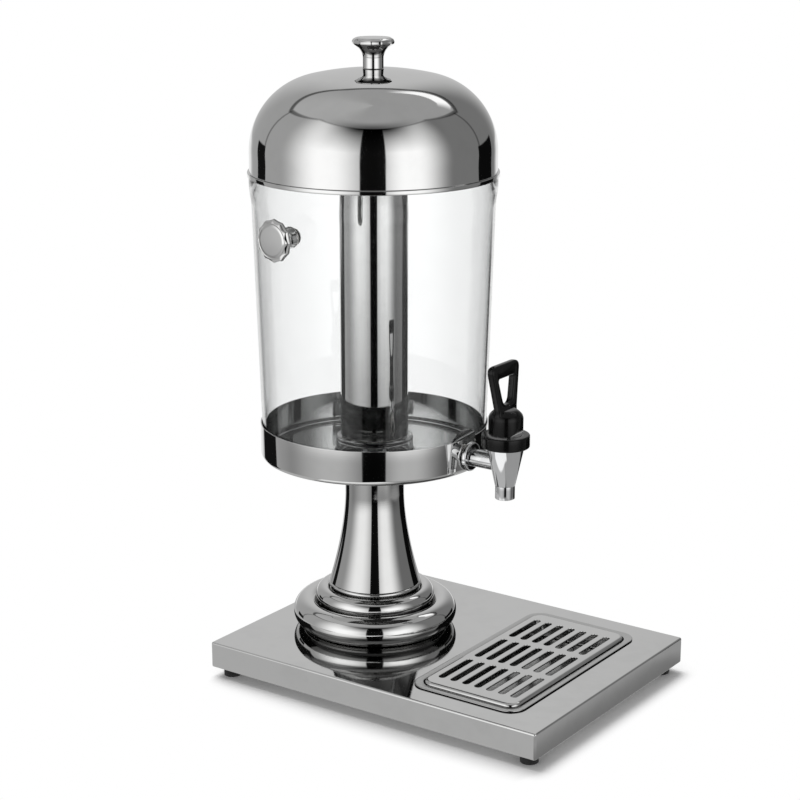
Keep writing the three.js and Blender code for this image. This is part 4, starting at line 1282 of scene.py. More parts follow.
@dataclass
class Tank(Assembly):
    """Clear tank with its ice tube and the knob on its wall."""

    wall: float = 3.0
    foot_radius: float = 102.0
    top_radius: float = 109.4
    lip_radius: float = 111.2
    lip_height: float = 19.0
    flare_height: float = 20.0
    flare_steps: int = 12
    fine_start: float = 12.0
    fine_step: float = 3.5
    coarse_start: float = 56.0
    coarse_step: float = 15.0
    level_count: int = 12
    corner: float = 6.0
    boss_radius: float = 35.5
    boss_height: float = 16.7
    stud_hole: float = 3.4
    pad_radius: float = 24.0
    pad_face: float = 96.5
    pad_reach: float = 9.0
    pad_limit: float = 60.0
    shank_hole: float = 6.4
    tube_radius: float = 31.0
    tube_sheet: float = 1.0
    tube_bead: float = 1.1
    stud_radius: float = 3.0
    knob_turn: float = math.radians(-94.7)
    knob_height: float = 23.4
    knob_gap: float = 0.8

    def build(self) -> None:
        """Builds and dresses the tank and what stands in it."""
        self.build_tank()
        self.build_tube()
        self.build_side_knob()
        self.repaint(ZINC_STEEL, "ice_tube_washer", "ice_tube_nut")
        self.repaint(PALE_SILICONE, "ice_tube_gasket")

    def outer_radius(self, height: float, foot: float, lip_foot: float) -> float:
        """Radius of the tapered wall at a height."""
        share = (height - foot) / (lip_foot - foot)
        return self.foot_radius + (self.top_radius - self.foot_radius) * share

    def build_tank(self) -> None:
        """Builds the tank with its boss, lip band, faucet pad and shank hole."""
        box = Extent.of("tank")
        foot, top = box.low.z, box.high.z
        lip_foot = top - self.lip_height
        floor = foot + self.wall
        boss_top = foot + self.boss_height
        inner_top = self.outer_radius(top, foot, lip_foot) - self.wall
        inner_floor = self.outer_radius(floor, foot, lip_foot) - self.wall
        levels: list[float] = []
        for start, pitch in ((self.fine_start, self.fine_step), (self.coarse_start, self.coarse_step)):
            levels += [foot + start + pitch * step for step in range(self.level_count)]
        outside = [(self.outer_radius(level, foot, lip_foot), level, 0) for level in levels]
        inside = [(radius - self.wall, level, 0) for radius, level, _ in reversed(outside)]
        flare = []
        for step in range(self.flare_steps + 1):
            share = step / self.flare_steps
            level = lip_foot + self.flare_height * (share - 0.5)
            wall = self.outer_radius(level, foot, lip_foot)
            flare.append((wall + (self.lip_radius - wall) * share * share * (3 - 2 * share), level, 0))
        profile = eased([
            (self.stud_hole, boss_top - self.wall, 0), (self.boss_radius - self.wall, boss_top - self.wall, 2.0),
            (self.boss_radius - self.wall, foot, 1.2), (self.foot_radius, foot, self.corner)] + outside + flare + [
            (self.lip_radius, top, 1.0), (inner_top, top, 0.8)] + inside + [
            (inner_floor, floor, 5.0), (self.boss_radius, floor, 2.0), (self.boss_radius, boss_top, 2.2),
            (self.stud_hole, boss_top, 0)], steps=8)
        tank = make_object("clear_tank", moved(spun(profile, Roundness.LARGE), COLUMN))
        shank = Extent.of("faucet_escutcheon").middle
        level = COLUMN + Vector((0, 0, shank.z))
        beyond = self.foot_radius + self.pad_reach
        pad = make_object("faucet_pad", moved(self.rod(self.pad_radius, self.pad_face, beyond), level))
        envelope = self.post(self.foot_radius - 1, foot + 1, foot + self.pad_limit)
        envelope = make_object("pad_envelope", moved(envelope, COLUMN))
        tank = carved(tank, carved(pad, envelope, "INTERSECT"), "UNION")
        hole = make_object("shank_hole", moved(self.rod(self.shank_hole, self.pad_face - 5, beyond), level))
        tank = carved(tank, hole, "DIFFERENCE")
        tank.visible_shadow = False
        self.dress(tank, Body.TANK, CLEAR_TANK, "tank")

    @staticmethod
    def post(radius: float, low: float, high: float) -> BMesh:
        """Upright solid cylinder about Z."""
        return spun([(0, low), (radius, low), (radius, high), (0, high)], Roundness.LARGE, closed=False)

    @staticmethod
    def rod(radius: float, low: float, high: float) -> BMesh:
        """Solid cylinder along X."""
        profile = [(0, low), (radius, low), (radius, high), (0, high)]
        return turned(spun(profile, Roundness.MEDIUM, closed=False), QUARTER, "Y")

    def build_tube(self) -> None:
        """Builds the ice tube with its bead and its stud."""
        box = Extent.of("ice_tube")
        seat = Extent.of("ice_tube_gasket").high.z + CLEARANCE
        top = box.high.z
        radius, bore, floor = self.tube_radius, self.tube_radius - self.tube_sheet, seat + self.tube_sheet
        bead, stud = self.tube_bead, self.stud_radius
        profile = eased([(0, box.low.z, 0), (stud, box.low.z, 0.4), (stud, seat, 0), (radius, seat, 2.0)],
                        closed=False)
        profile += arc((radius, top - bead), bead, -QUARTER, QUARTER, 10)
        profile += eased([(bore, top, 0), (bore, floor, 2.0), (0, floor, 0)], closed=False)
        tube = moved(spun(profile, Roundness.MEDIUM, closed=False), COLUMN)
        self.take("ice_tube_shell", tube, Body.TANK, MIRROR_SPUN, "ice_tube")

    def build_side_knob(self) -> None:
        """Builds the knob on the tank's wall and dresses its gasket and screw."""
        knob_box, gasket = Extent.of("side_knob"), Extent.of("side_knob_gasket")
        head = knob_box.middle.z
        direction = Vector((math.cos(self.knob_turn), math.sin(self.knob_turn), 0))
        foot = (Vector((gasket.middle.x, gasket.middle.y, 0)) - COLUMN).dot(direction) + self.knob_gap
        bm = turned(Knob().mesh(foot, self.knob_height), QUARTER, "Y")
        moved(turned(bm, self.knob_turn, "Z"), COLUMN, Vector((0, 0, head)))
        knob = self.take("wall_knob", bm, Body.TANK, KNOB_STEEL, "side_knob")
        knob.visible_glossy = False
        self.repaint(PALE_SILICONE, "side_knob_gasket")
        self.repaint(SATIN_STEEL, "side_knob_washer", "side_knob_screw")


@dataclass
class Lid(Assembly):
    """Spun dome with its turned-down lip and its knob."""

    radius: float = 110.6
    knuckle: float = 68.0
    crown: float = 260.0
    sheet: float = 1.0
    lip: float = 112.5
    hole: float = 2.7
    wall_height: float = 12.0

    def build(self) -> None:
        """Builds and dresses the lid."""
        self.build_dome()
        knob = Extent.of("lid_knob")
        bm = moved(Knob().mesh(knob.low.z, knob.high.z - knob.low.z), COLUMN)
        self.take("dome_knob", bm, Body.LID, KNOB_STEEL, "lid_knob")
        self.repaint(SATIN_STEEL, "lid_washer", "lid_screw")

    def skin(self, top: float, inset: float) -> list[Point]:
        """Profile of the dome's outer or inner skin, from the crown to the wall.

        Args:
            top: height of the outer skin's middle.
            inset: depth below the outer skin.

        Returns:
            The points.
        """
        circle = self.radius - self.knuckle
        reach = self.crown - self.knuckle
        crown_centre = top - self.crown
        knuckle_centre = crown_centre + math.sqrt(reach ** 2 - circle ** 2)
        meet = math.acos(circle / reach)
        start = math.acos(self.hole / (self.crown - inset))
        crown = arc((0, crown_centre), self.crown - inset, start, meet, 10)
        knuckle = arc((circle, knuckle_centre), self.knuckle - inset, meet, 0, 40)
        return crown + knuckle[1:]

    def build_dome(self) -> None:
        """Builds the dome."""
        box = Extent.of("lid_dome")
        seat = Extent.of("tank").high.z + CLEARANCE
        foot, low = seat + self.sheet, box.low.z
        high = foot + self.wall_height
        inner, lip_inner = self.radius - self.sheet, self.lip - self.sheet
        rim = eased([
            (self.radius, high, 0), (self.radius, foot, 0.7), (self.lip, foot, 0.8), (self.lip, low, 0.35),
            (lip_inner, low, 0.35), (lip_inner, seat, 0.3), (inner, seat, 0.3), (inner, high, 0)], closed=False)
        profile = self.skin(box.high.z, 0.0) + rim + self.skin(box.high.z, self.sheet)[::-1]
        self.take("dome", moved(spun(profile, Roundness.LARGE), COLUMN), Body.LID, MIRROR_SPUN, "lid_dome")


@dataclass
class Faucet(Assembly):
    """Chrome faucet body with its black bonnet, sprung stem and lever handle."""

    top_radius: float = 16.8
    foot_radius: float = 9.2
    outlet_radius: float = 8.9
    outlet_bore: float = 5.2
    foot_drop: float = 19.8
    chamber_top: float = 12.0
    chamber_foot: float = 7.0
    chamber_drop: float = 11.0
    throat_drop: float = 14.0
    shank_radius: float = 8.2
    thread_radius: float = 6.0
    shank_bore: float = 4.0
    shank_gap: float = 10.4
    bonnet_radius: float = 21.5
    spigot_radius: float = 11.0
    groove_radius: float = 15.0
    groove_half: float = 0.4
    groove_depth: float = 0.5
    stem_hole: float = 3.35
    escutcheon_radius: float = 13.2
    gasket_radius: float = 10.3
    washer_radius: float = 10.0
    coil_wire: float = 0.6
    coil_radius: float = 5.8
    coil_turns: int = 5
    coil_steps: int = 36
    coil_sides: int = 10
    coil_keep: float = 0.65

    def build(self) -> None:
        """Builds and dresses the faucet."""
        self.build_body()
        self.build_shank_stack()
        self.build_bonnet()
        self.build_stem()
        self.build_handle()

    def build_body(self) -> None:
        """Builds the cone with its outlet, and the level shank."""
        box = Extent.of("faucet_body")
        axis = Extent.of("faucet_escutcheon").middle.z
        foot, top = box.low.z, box.high.z
        step = axis - self.foot_drop
        profile = eased([
            (self.outlet_bore, foot, 0.5), (self.outlet_radius, foot, 0.5), (self.outlet_radius, step - 0.5, 0.2),
            (self.outlet_radius - 0.3, step - 0.25, 0), (self.outlet_radius, step, 0.15),
            (self.foot_radius, step + 0.1, 0.3), (self.top_radius, top, 0.5), (self.chamber_top, top, 0.4),
            (self.chamber_foot, axis - self.chamber_drop, 1.0), (self.outlet_bore, axis - self.throat_drop, 1.0)])
        self.take("faucet_cone", moved(spun(profile, Roundness.MEDIUM), FAUCET), Body.TANK, FAUCET_CHROME,
                  "faucet_body")
        start = box.low.x - COLUMN.x
        shoulder = Extent.of("faucet_escutcheon").high.x - COLUMN.x + CLEARANCE
        reach = FAUCET.x - COLUMN.x - self.shank_gap
        shank = eased([
            (self.shank_bore, start, 0.3), (self.thread_radius, start, 0.6), (self.thread_radius, shoulder, 0),
            (self.shank_radius, shoulder, 0.5), (self.shank_radius, reach, 0), (self.shank_bore, reach, 0)])
        bm = moved(turned(spun(shank, Roundness.SMALL), QUARTER, "Y"), COLUMN, Vector((0, 0, axis)))
        self.take("faucet_shank", bm, Body.TANK, FAUCET_CHROME, "faucet_body")

    def build_shank_stack(self) -> None:
        """Builds the rings on the shank, outside and inside the tank's wall."""
        axis = Extent.of("faucet_escutcheon").middle.z
        hole = self.thread_radius + 0.4
        for node, radius, ease, finish in (("faucet_escutcheon", self.escutcheon_radius, 1.6, FAUCET_CHROME),
                                           ("faucet_gasket", self.gasket_radius, 0.7, PALE_SILICONE),
                                           ("faucet_washer", self.washer_radius, 0.6, PALE_SILICONE)):
            box = Extent.of(node)
            low, high = box.low.x - COLUMN.x, box.high.x - COLUMN.x
            profile = eased([(hole, low, 0), (radius, low, 0.3), (radius, high, ease), (hole, high, 0.3)])
            bm = moved(turned(spun(profile, Roundness.SMALL), QUARTER, "Y"), COLUMN, Vector((0, 0, axis)))
            self.take(node + "_ring", bm, Body.TANK, finish, node)
        self.repaint(PALE_SILICONE, "faucet_nut")

    def build_bonnet(self) -> None:
        """Builds the black cap over the body."""
        box = Extent.of("faucet_bonnet")
        top, spigot_foot = box.high.z, box.low.z
        foot = Extent.of("faucet_body").high.z + CLEARANCE
        radius, spigot = self.bonnet_radius, self.spigot_radius
        groove, half = self.groove_radius, self.groove_half
        profile = eased([
            (self.stem_hole, spigot_foot, 0), (spigot, spigot_foot, 0.4), (spigot, foot, 0), (radius, foot, 1.6),
            (radius, top, 1.6), (groove + half, top, 0.4), (groove, top - self.groove_depth, 0.3),
            (groove - half, top, 0.4), (self.stem_hole, top, 0.3)], steps=6)
        cap = self.take("bonnet_cap", moved(spun(profile, Roundness.MEDIUM), FAUCET), Body.TANK, GLOSS_BLACK,
                        "faucet_bonnet")
        cap.visible_glossy = False

    def build_stem(self) -> None:
        """Builds the valve's spring, and dresses the stem and the seat cup."""
        spring = Extent.of("faucet_spring")
        wire, steps = self.coil_wire, self.coil_turns * self.coil_steps
        low, high = spring.low.z + wire, spring.high.z - wire
        bm = bmesh.new()
        section = [(self.coil_radius + wire * math.cos(angle), 0.0, low + wire * math.sin(angle))
                   for angle in (FULL_TURN * index / self.coil_sides for index in range(self.coil_sides))]
        edges = add_loop(bm, section)
        verts = bm.verts[:]
        bm.faces.new(verts)
        bmesh.ops.spin(bm, geom=verts + edges, cent=ORIGIN, axis=(0, 0, 1), angle=FULL_TURN * self.coil_turns,
                       dvec=(0, 0, (high - low) / steps), steps=steps, use_duplicate=False)
        bmesh.ops.holes_fill(bm, edges=[edge for edge in bm.edges if edge.is_boundary], sides=0)
        bmesh.ops.recalc_face_normals(bm, faces=bm.faces)
        coil = self.take("valve_spring", moved(bm, FAUCET), Body.TANK, SATIN_STEEL, "faucet_spring")
        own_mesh(coil)
        self.repaint(SATIN_STEEL, "faucet_stem")
        self.repaint(PALE_SILICONE, "faucet_seat_cup")

    def build_handle(self) -> None:
        """Builds the lever as one moulding: a round hub on the bonnet and a blade with a tapered window."""
        shape = HandleShape(Extent.of("faucet_handle").low.z)
        lever = make_object("lever", moved(shape.hub(), FAUCET))
        for name, make, operation in (("heel_roller", shape.roller, "INTERSECT"),
                                      ("lever_blade", shape.blade, "UNION"),
                                      ("tongue_slot", shape.slot, "DIFFERENCE"),
                                      ("pin_hole", shape.pin_hole, "DIFFERENCE")):
            lever = carved(lever, make_object(name, moved(make(), FAUCET)), operation)
        lever.visible_glossy = False
        self.dress(lever, Body.HANDLE, GLOSS_BLACK, "faucet_handle")
        self.repaint(SATIN_STEEL, "handle_pin")


@dataclass
class HandleShape:
    """Shape of the lever, upwards from the hub's flat underside."""

    foot: float
    hub_radius: float = 15.5
    heel: float = 8.05
    hub_height: float = 17.0
    crown_height: float = 5.3
    crown_radius: float = 10.0
    blade_foot: float = 14.4
    blade_top: float = 63.6
    shoulder_inset: float = 0.6
    flare_height: float = 7.0
    waist: float = 29.0
    wide: float = 46.0
    corner: float = 8.5
    thickness: float = 7.2
    window_foot: float = 27.0
    window_top: float = 51.2
    window_low: float = 13.0
    window_high: float = 25.5
    lean: float = math.radians(-4.5)
    edge: float = 2.2
    pin_lift: float = 8.0
    pin_hole_radius: float = 1.58
    pin_blind: float = 13.3
    slot_width: float = 6.4
    slot_half: float = 5.0
    slot_top: float = 5.0
    slot_slant: float = 5.3

    def hub(self) -> BMesh:
        """Spins the hub with its crown.

        Returns:
            The hub.
        """
        low, high = self.foot, self.foot + self.hub_height
        profile = eased([(0, low, 0), (self.hub_radius, low, 1.2), (self.hub_radius, high, 3.0),
                         (self.crown_radius, high + self.crown_height, 3.0), (0, high + self.crown_height, 0)],
                        closed=False, steps=8)
        return spun(profile, Roundness.MEDIUM, closed=False)

    def roller(self) -> BMesh:
        """Makes the prism that the hub is cut to, with the rounded heel that it rolls on.

        Returns:
            The prism along Y.
        """
        reach = self.hub_radius + 0.5
        heel = arc((self.hub_radius - self.heel, self.heel), self.heel, -QUARTER, 0, 16)
        right = heel + [(reach, self.heel), (reach, self.blade_top)]
        outline = right + [(-x, height) for x, height in reversed(right)]
        return self.bar(outline, 2 * reach, self.foot)

    @staticmethod
    def bar(outline: Sequence[Point], width: float, foot: float) -> BMesh:
        """Bar along Y, centred, from an outline in X and Z above a foot."""
        bm = prism([(x, -width / 2, height) for x, height in outline], (0, width, 0))
        return moved(bm, Vector((0, 0, foot)))

    def blade(self) -> BMesh:
        """Cuts the blade from a plate, stands it up and leans it back.

        Returns:
            The blade.
        """
        waist, wide = self.waist / 2, self.wide / 2
        shoulder, flare = self.hub_radius - self.shoulder_inset, self.blade_foot + self.flare_height
        outline = eased([(-shoulder, self.blade_foot, 0), (shoulder, self.blade_foot, 0), (waist - 0.4, flare, 3.5),
                         (wide, self.blade_top, self.corner), (-wide, self.blade_top, self.corner),
                         (0.4 - waist, flare, 3.5)], steps=10)
        low, high = self.window_low / 2, self.window_high / 2
        window = eased([(-low, self.window_foot, low), (low, self.window_foot, low), (high, self.window_top, 3.0),
                        (-high, self.window_top, 3.0)], steps=10)
        bm = slab(outline, [window], self.thickness, self.edge)
        upright = Matrix(((0, 0, 1), (1, 0, 0), (0, 1, 0)))
        bmesh.ops.rotate(bm, verts=bm.verts, cent=ORIGIN, matrix=upright)
        return moved(turned(bm, self.lean, "Y", (0, 0, self.blade_foot)), Vector((0, 0, self.foot)))

    def slot(self) -> BMesh:
        """Makes the slot that the stem's tongue stands in, slanted where the tilting hub passes it.

        Returns:
            The slot's solid.
        """
        low = -self.pin_lift - 1.0
        outline = [(-self.slot_half, low), (self.slot_slant - low, low),
                   (self.slot_half, self.slot_slant - self.slot_half), (self.slot_half, self.slot_top),
                   (-self.slot_half, self.slot_top)]
        return self.bar(outline, self.slot_width, self.foot + self.pin_lift)

    def pin_hole(self) -> BMesh:
        """Cylinder of the pin's hole, blind at the front and open behind."""
        bm = turned(Tank.post(self.pin_hole_radius, -self.hub_radius - 1.0, self.pin_blind), QUARTER, "X")
        return moved(bm, Vector((0, 0, self.foot + self.pin_lift)))


@dataclass(frozen=True)
class Direction:
    """Direction of a mirrored ray, in degrees.

    The azimuth is zero toward the camera and positive on the picture's right. The third value is its size.
    """

    azimuth: NodeSocket
    height: NodeSocket
    sideways: NodeSocket


@dataclass(frozen=True)
class SoftPanel:
    """Upright soft light of the tent, in degrees of azimuth."""

    centre: float
    half_width: float
    softness: float
    level: float

    def over(self, graph: Graph, way: Direction, behind: SocketValue) -> NodeSocket:
        """Sets the panel in front of what is behind it.

        Args:
            graph: graph of the world.
            way: direction of the ray.
            behind: level behind the panel.

        Returns:
            The level with the panel.
        """
        off = graph.unsigned(graph.less(way.azimuth, self.centre))
        share = graph.along(off, Slope(self.half_width + self.softness, self.half_width))
        return graph.toward(behind, self.level, share)


@dataclass(frozen=True)
class DarkStrip:
    """Dark strip of the tent: a band of azimuths below a soft edge."""

    across: Band
    top: Slope

    def mask(self, graph: Graph, way: Direction) -> NodeSocket:
        """Mask of the strip."""
        return graph.times(graph.within(way.azimuth, self.across), graph.along(way.height, self.top))


@dataclass(frozen=True)
class Walls:
    """Upright walls of the tent, with two soft panels, the dark gap between them and what is low behind."""

    sides: Slope = Slope(-10.0, 10.0, 0.3, 0.15)
    back: float = 0.45
    back_start: Slope = Slope(140.0, 178.0)
    panels: tuple[SoftPanel, ...] = (SoftPanel(-45.0, 5.0, 45.0, 0.95), SoftPanel(35.0, 5.0, 40.0, 0.95))
    gap: Band = Band(-11.0, 11.0, 1.5)
    gap_depth: float = 0.99
    front_fade: Slope = Slope(90.0, 15.0)
    fade_rise: Slope = Slope(15.0, 50.0, smooth=False)
    side_sink: Slope = Slope(130.0, 55.0, 0.0, 0.58)
    sink_start: Slope = Slope(-10.0, -17.0)
    table: float = 0.7
    table_sides: Slope = Slope(146.0, 160.0)
    table_top: Slope = Slope(-2.0, -5.0)

    def level(self, graph: Graph, way: Direction) -> NodeSocket:
        """Adds the walls.

        Args:
            graph: graph of the world.
            way: direction of the ray.

        Returns:
            Their level.
        """
        lit = graph.along(way.azimuth, self.sides)
        lit = graph.toward(lit, self.back, graph.along(way.sideways, self.back_start))
        for panel in self.panels:
            lit = panel.over(graph, way, lit)
        lit = graph.dimmed(lit, graph.times(graph.within(way.azimuth, self.gap), self.gap_depth))
        for sideways, height in ((self.front_fade, self.fade_rise), (self.side_sink, self.sink_start)):
            lit = graph.dimmed(lit, graph.times(graph.along(way.sideways, sideways), graph.along(way.height, height)))
        table = graph.times(graph.along(way.sideways, self.table_sides), graph.along(way.height, self.table_top))
        return graph.toward(lit, self.table, table)


@dataclass(frozen=True)
class Cards:
    """Dark cards at the tent's sides, and thin dark lines up its two back corners."""

    strips: tuple[DarkStrip, DarkStrip] = (DarkStrip(Band(-132.0, -117.0, 0.6), Slope(3.0, 1.5)),
                                           DarkStrip(Band(113.0, 139.0, 0.6), Slope(4.0, 2.5)))
    low_cards: tuple[Band, Band] = (Band(-148.0, -124.0, 1.0), Band(110.0, 156.0, 1.0))
    low_top: Slope = Slope(-10.0, -13.0)
    far_cards: Band = Band(102.0, 166.0, 3.0)
    far_foot: Slope = Slope(6.0, 9.0)
    far_top: Slope = Slope(38.0, 33.0)
    least: float = 0.02
    lines: tuple[Band, Band] = (Band(-118.6, -117.4, 1.2), Band(114.4, 115.6, 1.2))
    line_foot: Slope = Slope(1.0, 3.0)
    line_depth: float = 0.5

    def over(self, graph: Graph, way: Direction, again: NodeSocket, behind: NodeSocket) -> NodeSocket:
        """Sets the cards in front of the walls.

        Args:
            graph: graph of the world.
            way: direction of the ray.
            again: 1 for a mirror image in a mirror, which alone shows the far cards and not the low ones.
            behind: level of the walls.

        Returns:
            The level with the cards.
        """
        first, second = (strip.mask(graph, way) for strip in self.strips)
        below = graph.times(graph.along(way.height, self.low_top), graph.less(1.0, again))
        low = graph.times(below, graph.plus(*(graph.within(way.azimuth, band) for band in self.low_cards)))
        between = graph.times(graph.times(again, graph.along(way.height, self.far_foot)),
                              graph.along(way.height, self.far_top))
        far = graph.times(between, graph.within(way.sideways, self.far_cards))
        dark = graph.plus(graph.plus(first, second), graph.plus(low, far))
        lit = graph.times(behind, graph.math("MAXIMUM", graph.less(1.0, dark), self.least))
        lines = graph.times(graph.along(way.height, self.line_foot),
                            graph.plus(*(graph.within(way.azimuth, band) for band in self.lines)))
        return graph.dimmed(lit, graph.times(lines, self.line_depth))


@dataclass(frozen=True)
class Roof:
    """Roof of the tent, with a dark seam along its edge and a lamp in it, behind on the right."""

    corner: float = 120.0
    edge: Slope = Slope(45.0, 0.0, 51.0, 37.0, smooth=False)
    edge_softness: float = 0.8
    tone: float = 0.29
    left_gain: float = 0.07
    left_side: Band = Band(-115.0, -70.0, 55.0)
    front: Slope = Slope(75.0, 0.0)
    front_shade: Slope = Slope(12.0, 0.0, 0.0, 0.75)
    back: Slope = Slope(60.0, 130.0)
    seam_width: float = 1.5
    seam_edge: Slope = Slope(1.0, 0.3)
    seam_start: Slope = Slope(10.0, 30.0)
    seam_depth: float = 0.35
    back_seam_depth: float = 0.4
    lamp: Colour = (0.97, 0.97, 0.97, 1.0)
    lamp_height: Slope = Slope(125.0, 165.0, 46.0, 57.5, smooth=False)
    lamp_reach: Slope = Slope(125.0, 165.0, 5.5, 3.5, smooth=False)
    lamp_edge: Slope = Slope(1.0, 0.75)
    lamp_start: Slope = Slope(115.0, 131.0)
    lamp_end: Slope = Slope(174.0, 152.0)

    def over(self, graph: Graph, way: Direction, walls: NodeSocket) -> NodeSocket:
        """Sets the roof on the walls.

        Args:
            graph: graph of the world.
            way: direction of the ray.
            walls: level of the walls.

        Returns:
            The colour of the whole tent.
        """
        off_corner = graph.unsigned(graph.less(way.sideways, self.corner))
        above = graph.less(way.height, graph.along(off_corner, self.edge))
        gain = graph.times(graph.within(way.azimuth, self.left_side), self.left_gain)
        shade = graph.times(graph.along(way.sideways, self.front), graph.along(above, self.front_shade))
        roof = graph.dimmed(graph.plus(self.tone, gain), shade)
        level = graph.mix(graph.along(above, Slope(-self.edge_softness, self.edge_softness)), walls, roof)
        level = graph.scaled(level, graph.less(1.0, self.seam(graph, way, above)))
        return graph.mix(self.lamp_mask(graph, way), level, self.lamp)

    def seam(self, graph: Graph, way: Direction, above: NodeSocket) -> NodeSocket:
        """Adds the seam between roof and walls, wider and darker behind.

        Args:
            graph: graph of the world.
            way: direction of the ray.
            above: height above the roof's edge.

        Returns:
            How much of the level the seam takes off.
        """
        back = graph.along(way.sideways, self.back)
        width = graph.plus(self.seam_width, graph.times(back, self.seam_width))
        near = graph.along(graph.math("DIVIDE", graph.unsigned(above), width), self.seam_edge)
        depth = graph.plus(graph.times(graph.along(way.sideways, self.seam_start), self.seam_depth),
                           graph.times(back, self.back_seam_depth))
        return graph.times(near, depth)

    def lamp_mask(self, graph: Graph, way: Direction) -> NodeSocket:
        """Mask of the long lamp in the roof.

        Args:
            graph: graph of the world.
            way: direction of the ray.

        Returns:
            The mask.
        """
        off = graph.unsigned(graph.less(way.height, graph.along(way.azimuth, self.lamp_height)))
        share = graph.math("DIVIDE", off, graph.along(way.azimuth, self.lamp_reach))
        length = graph.times(graph.along(way.azimuth, self.lamp_start), graph.along(way.azimuth, self.lamp_end))
        return graph.times(graph.along(share, self.lamp_edge), length)


@dataclass(frozen=True)
class LightTent:
    """Light tent that mirrors show, by direction. Mirror images in mirrors see it darker."""

    turn: float
    steel: float = 0.79
    walls: Walls = Walls()
    cards: Cards = Cards()
    roof: Roof = Roof()
    second_image: float = 1.5
    third_image: float = 2.5
    again_dim: float = 0.7
    second_start: Slope = Slope(29.0, 34.0)

    def colour(self, graph: Graph) -> NodeSocket:
        """Adds the tent to the world.

        Args:
            graph: graph of the world.

        Returns:
            The tent's colour by direction.
        """
        way = self.direction(graph)
        depth = graph.node("LightPath").outputs["Glossy Depth"]
        again = graph.above(depth, self.second_image)
        lit = self.cards.over(graph, way, again, self.walls.level(graph, way))
        shown = graph.scaled(self.roof.over(graph, way, lit), (1 / self.steel,) * 3)
        high = graph.times(graph.times(again, graph.along(way.height, self.second_start)), self.again_dim)
        shown = graph.scaled(shown, graph.less(1.0, high))
        deep = graph.times(graph.above(depth, self.third_image), self.again_dim)
        return graph.scaled(shown, graph.less(1.0, deep))

    def direction(self, graph: Graph) -> Direction:
        """Adds the nodes that read a ray's direction.

        Args:
            graph: graph of the world.

        Returns:
            The direction, counted from the side of the camera.
        """
        generated = graph.node("TexCoord").outputs["Generated"]
        turned = graph.node("VectorRotate", {"Vector": generated, "Angle": self.turn}, rotation_type="Z_AXIS")
        parts = graph.node("SeparateXYZ", {0: turned.outputs[0]})
        azimuth = graph.math("DEGREES", graph.math("ARCTAN2", parts.outputs["Y"], parts.outputs["X"]))
        height = graph.math("DEGREES", graph.math("ARCSINE", parts.outputs["Z"]))
        return Direction(azimuth, height, graph.unsigned(azimuth))


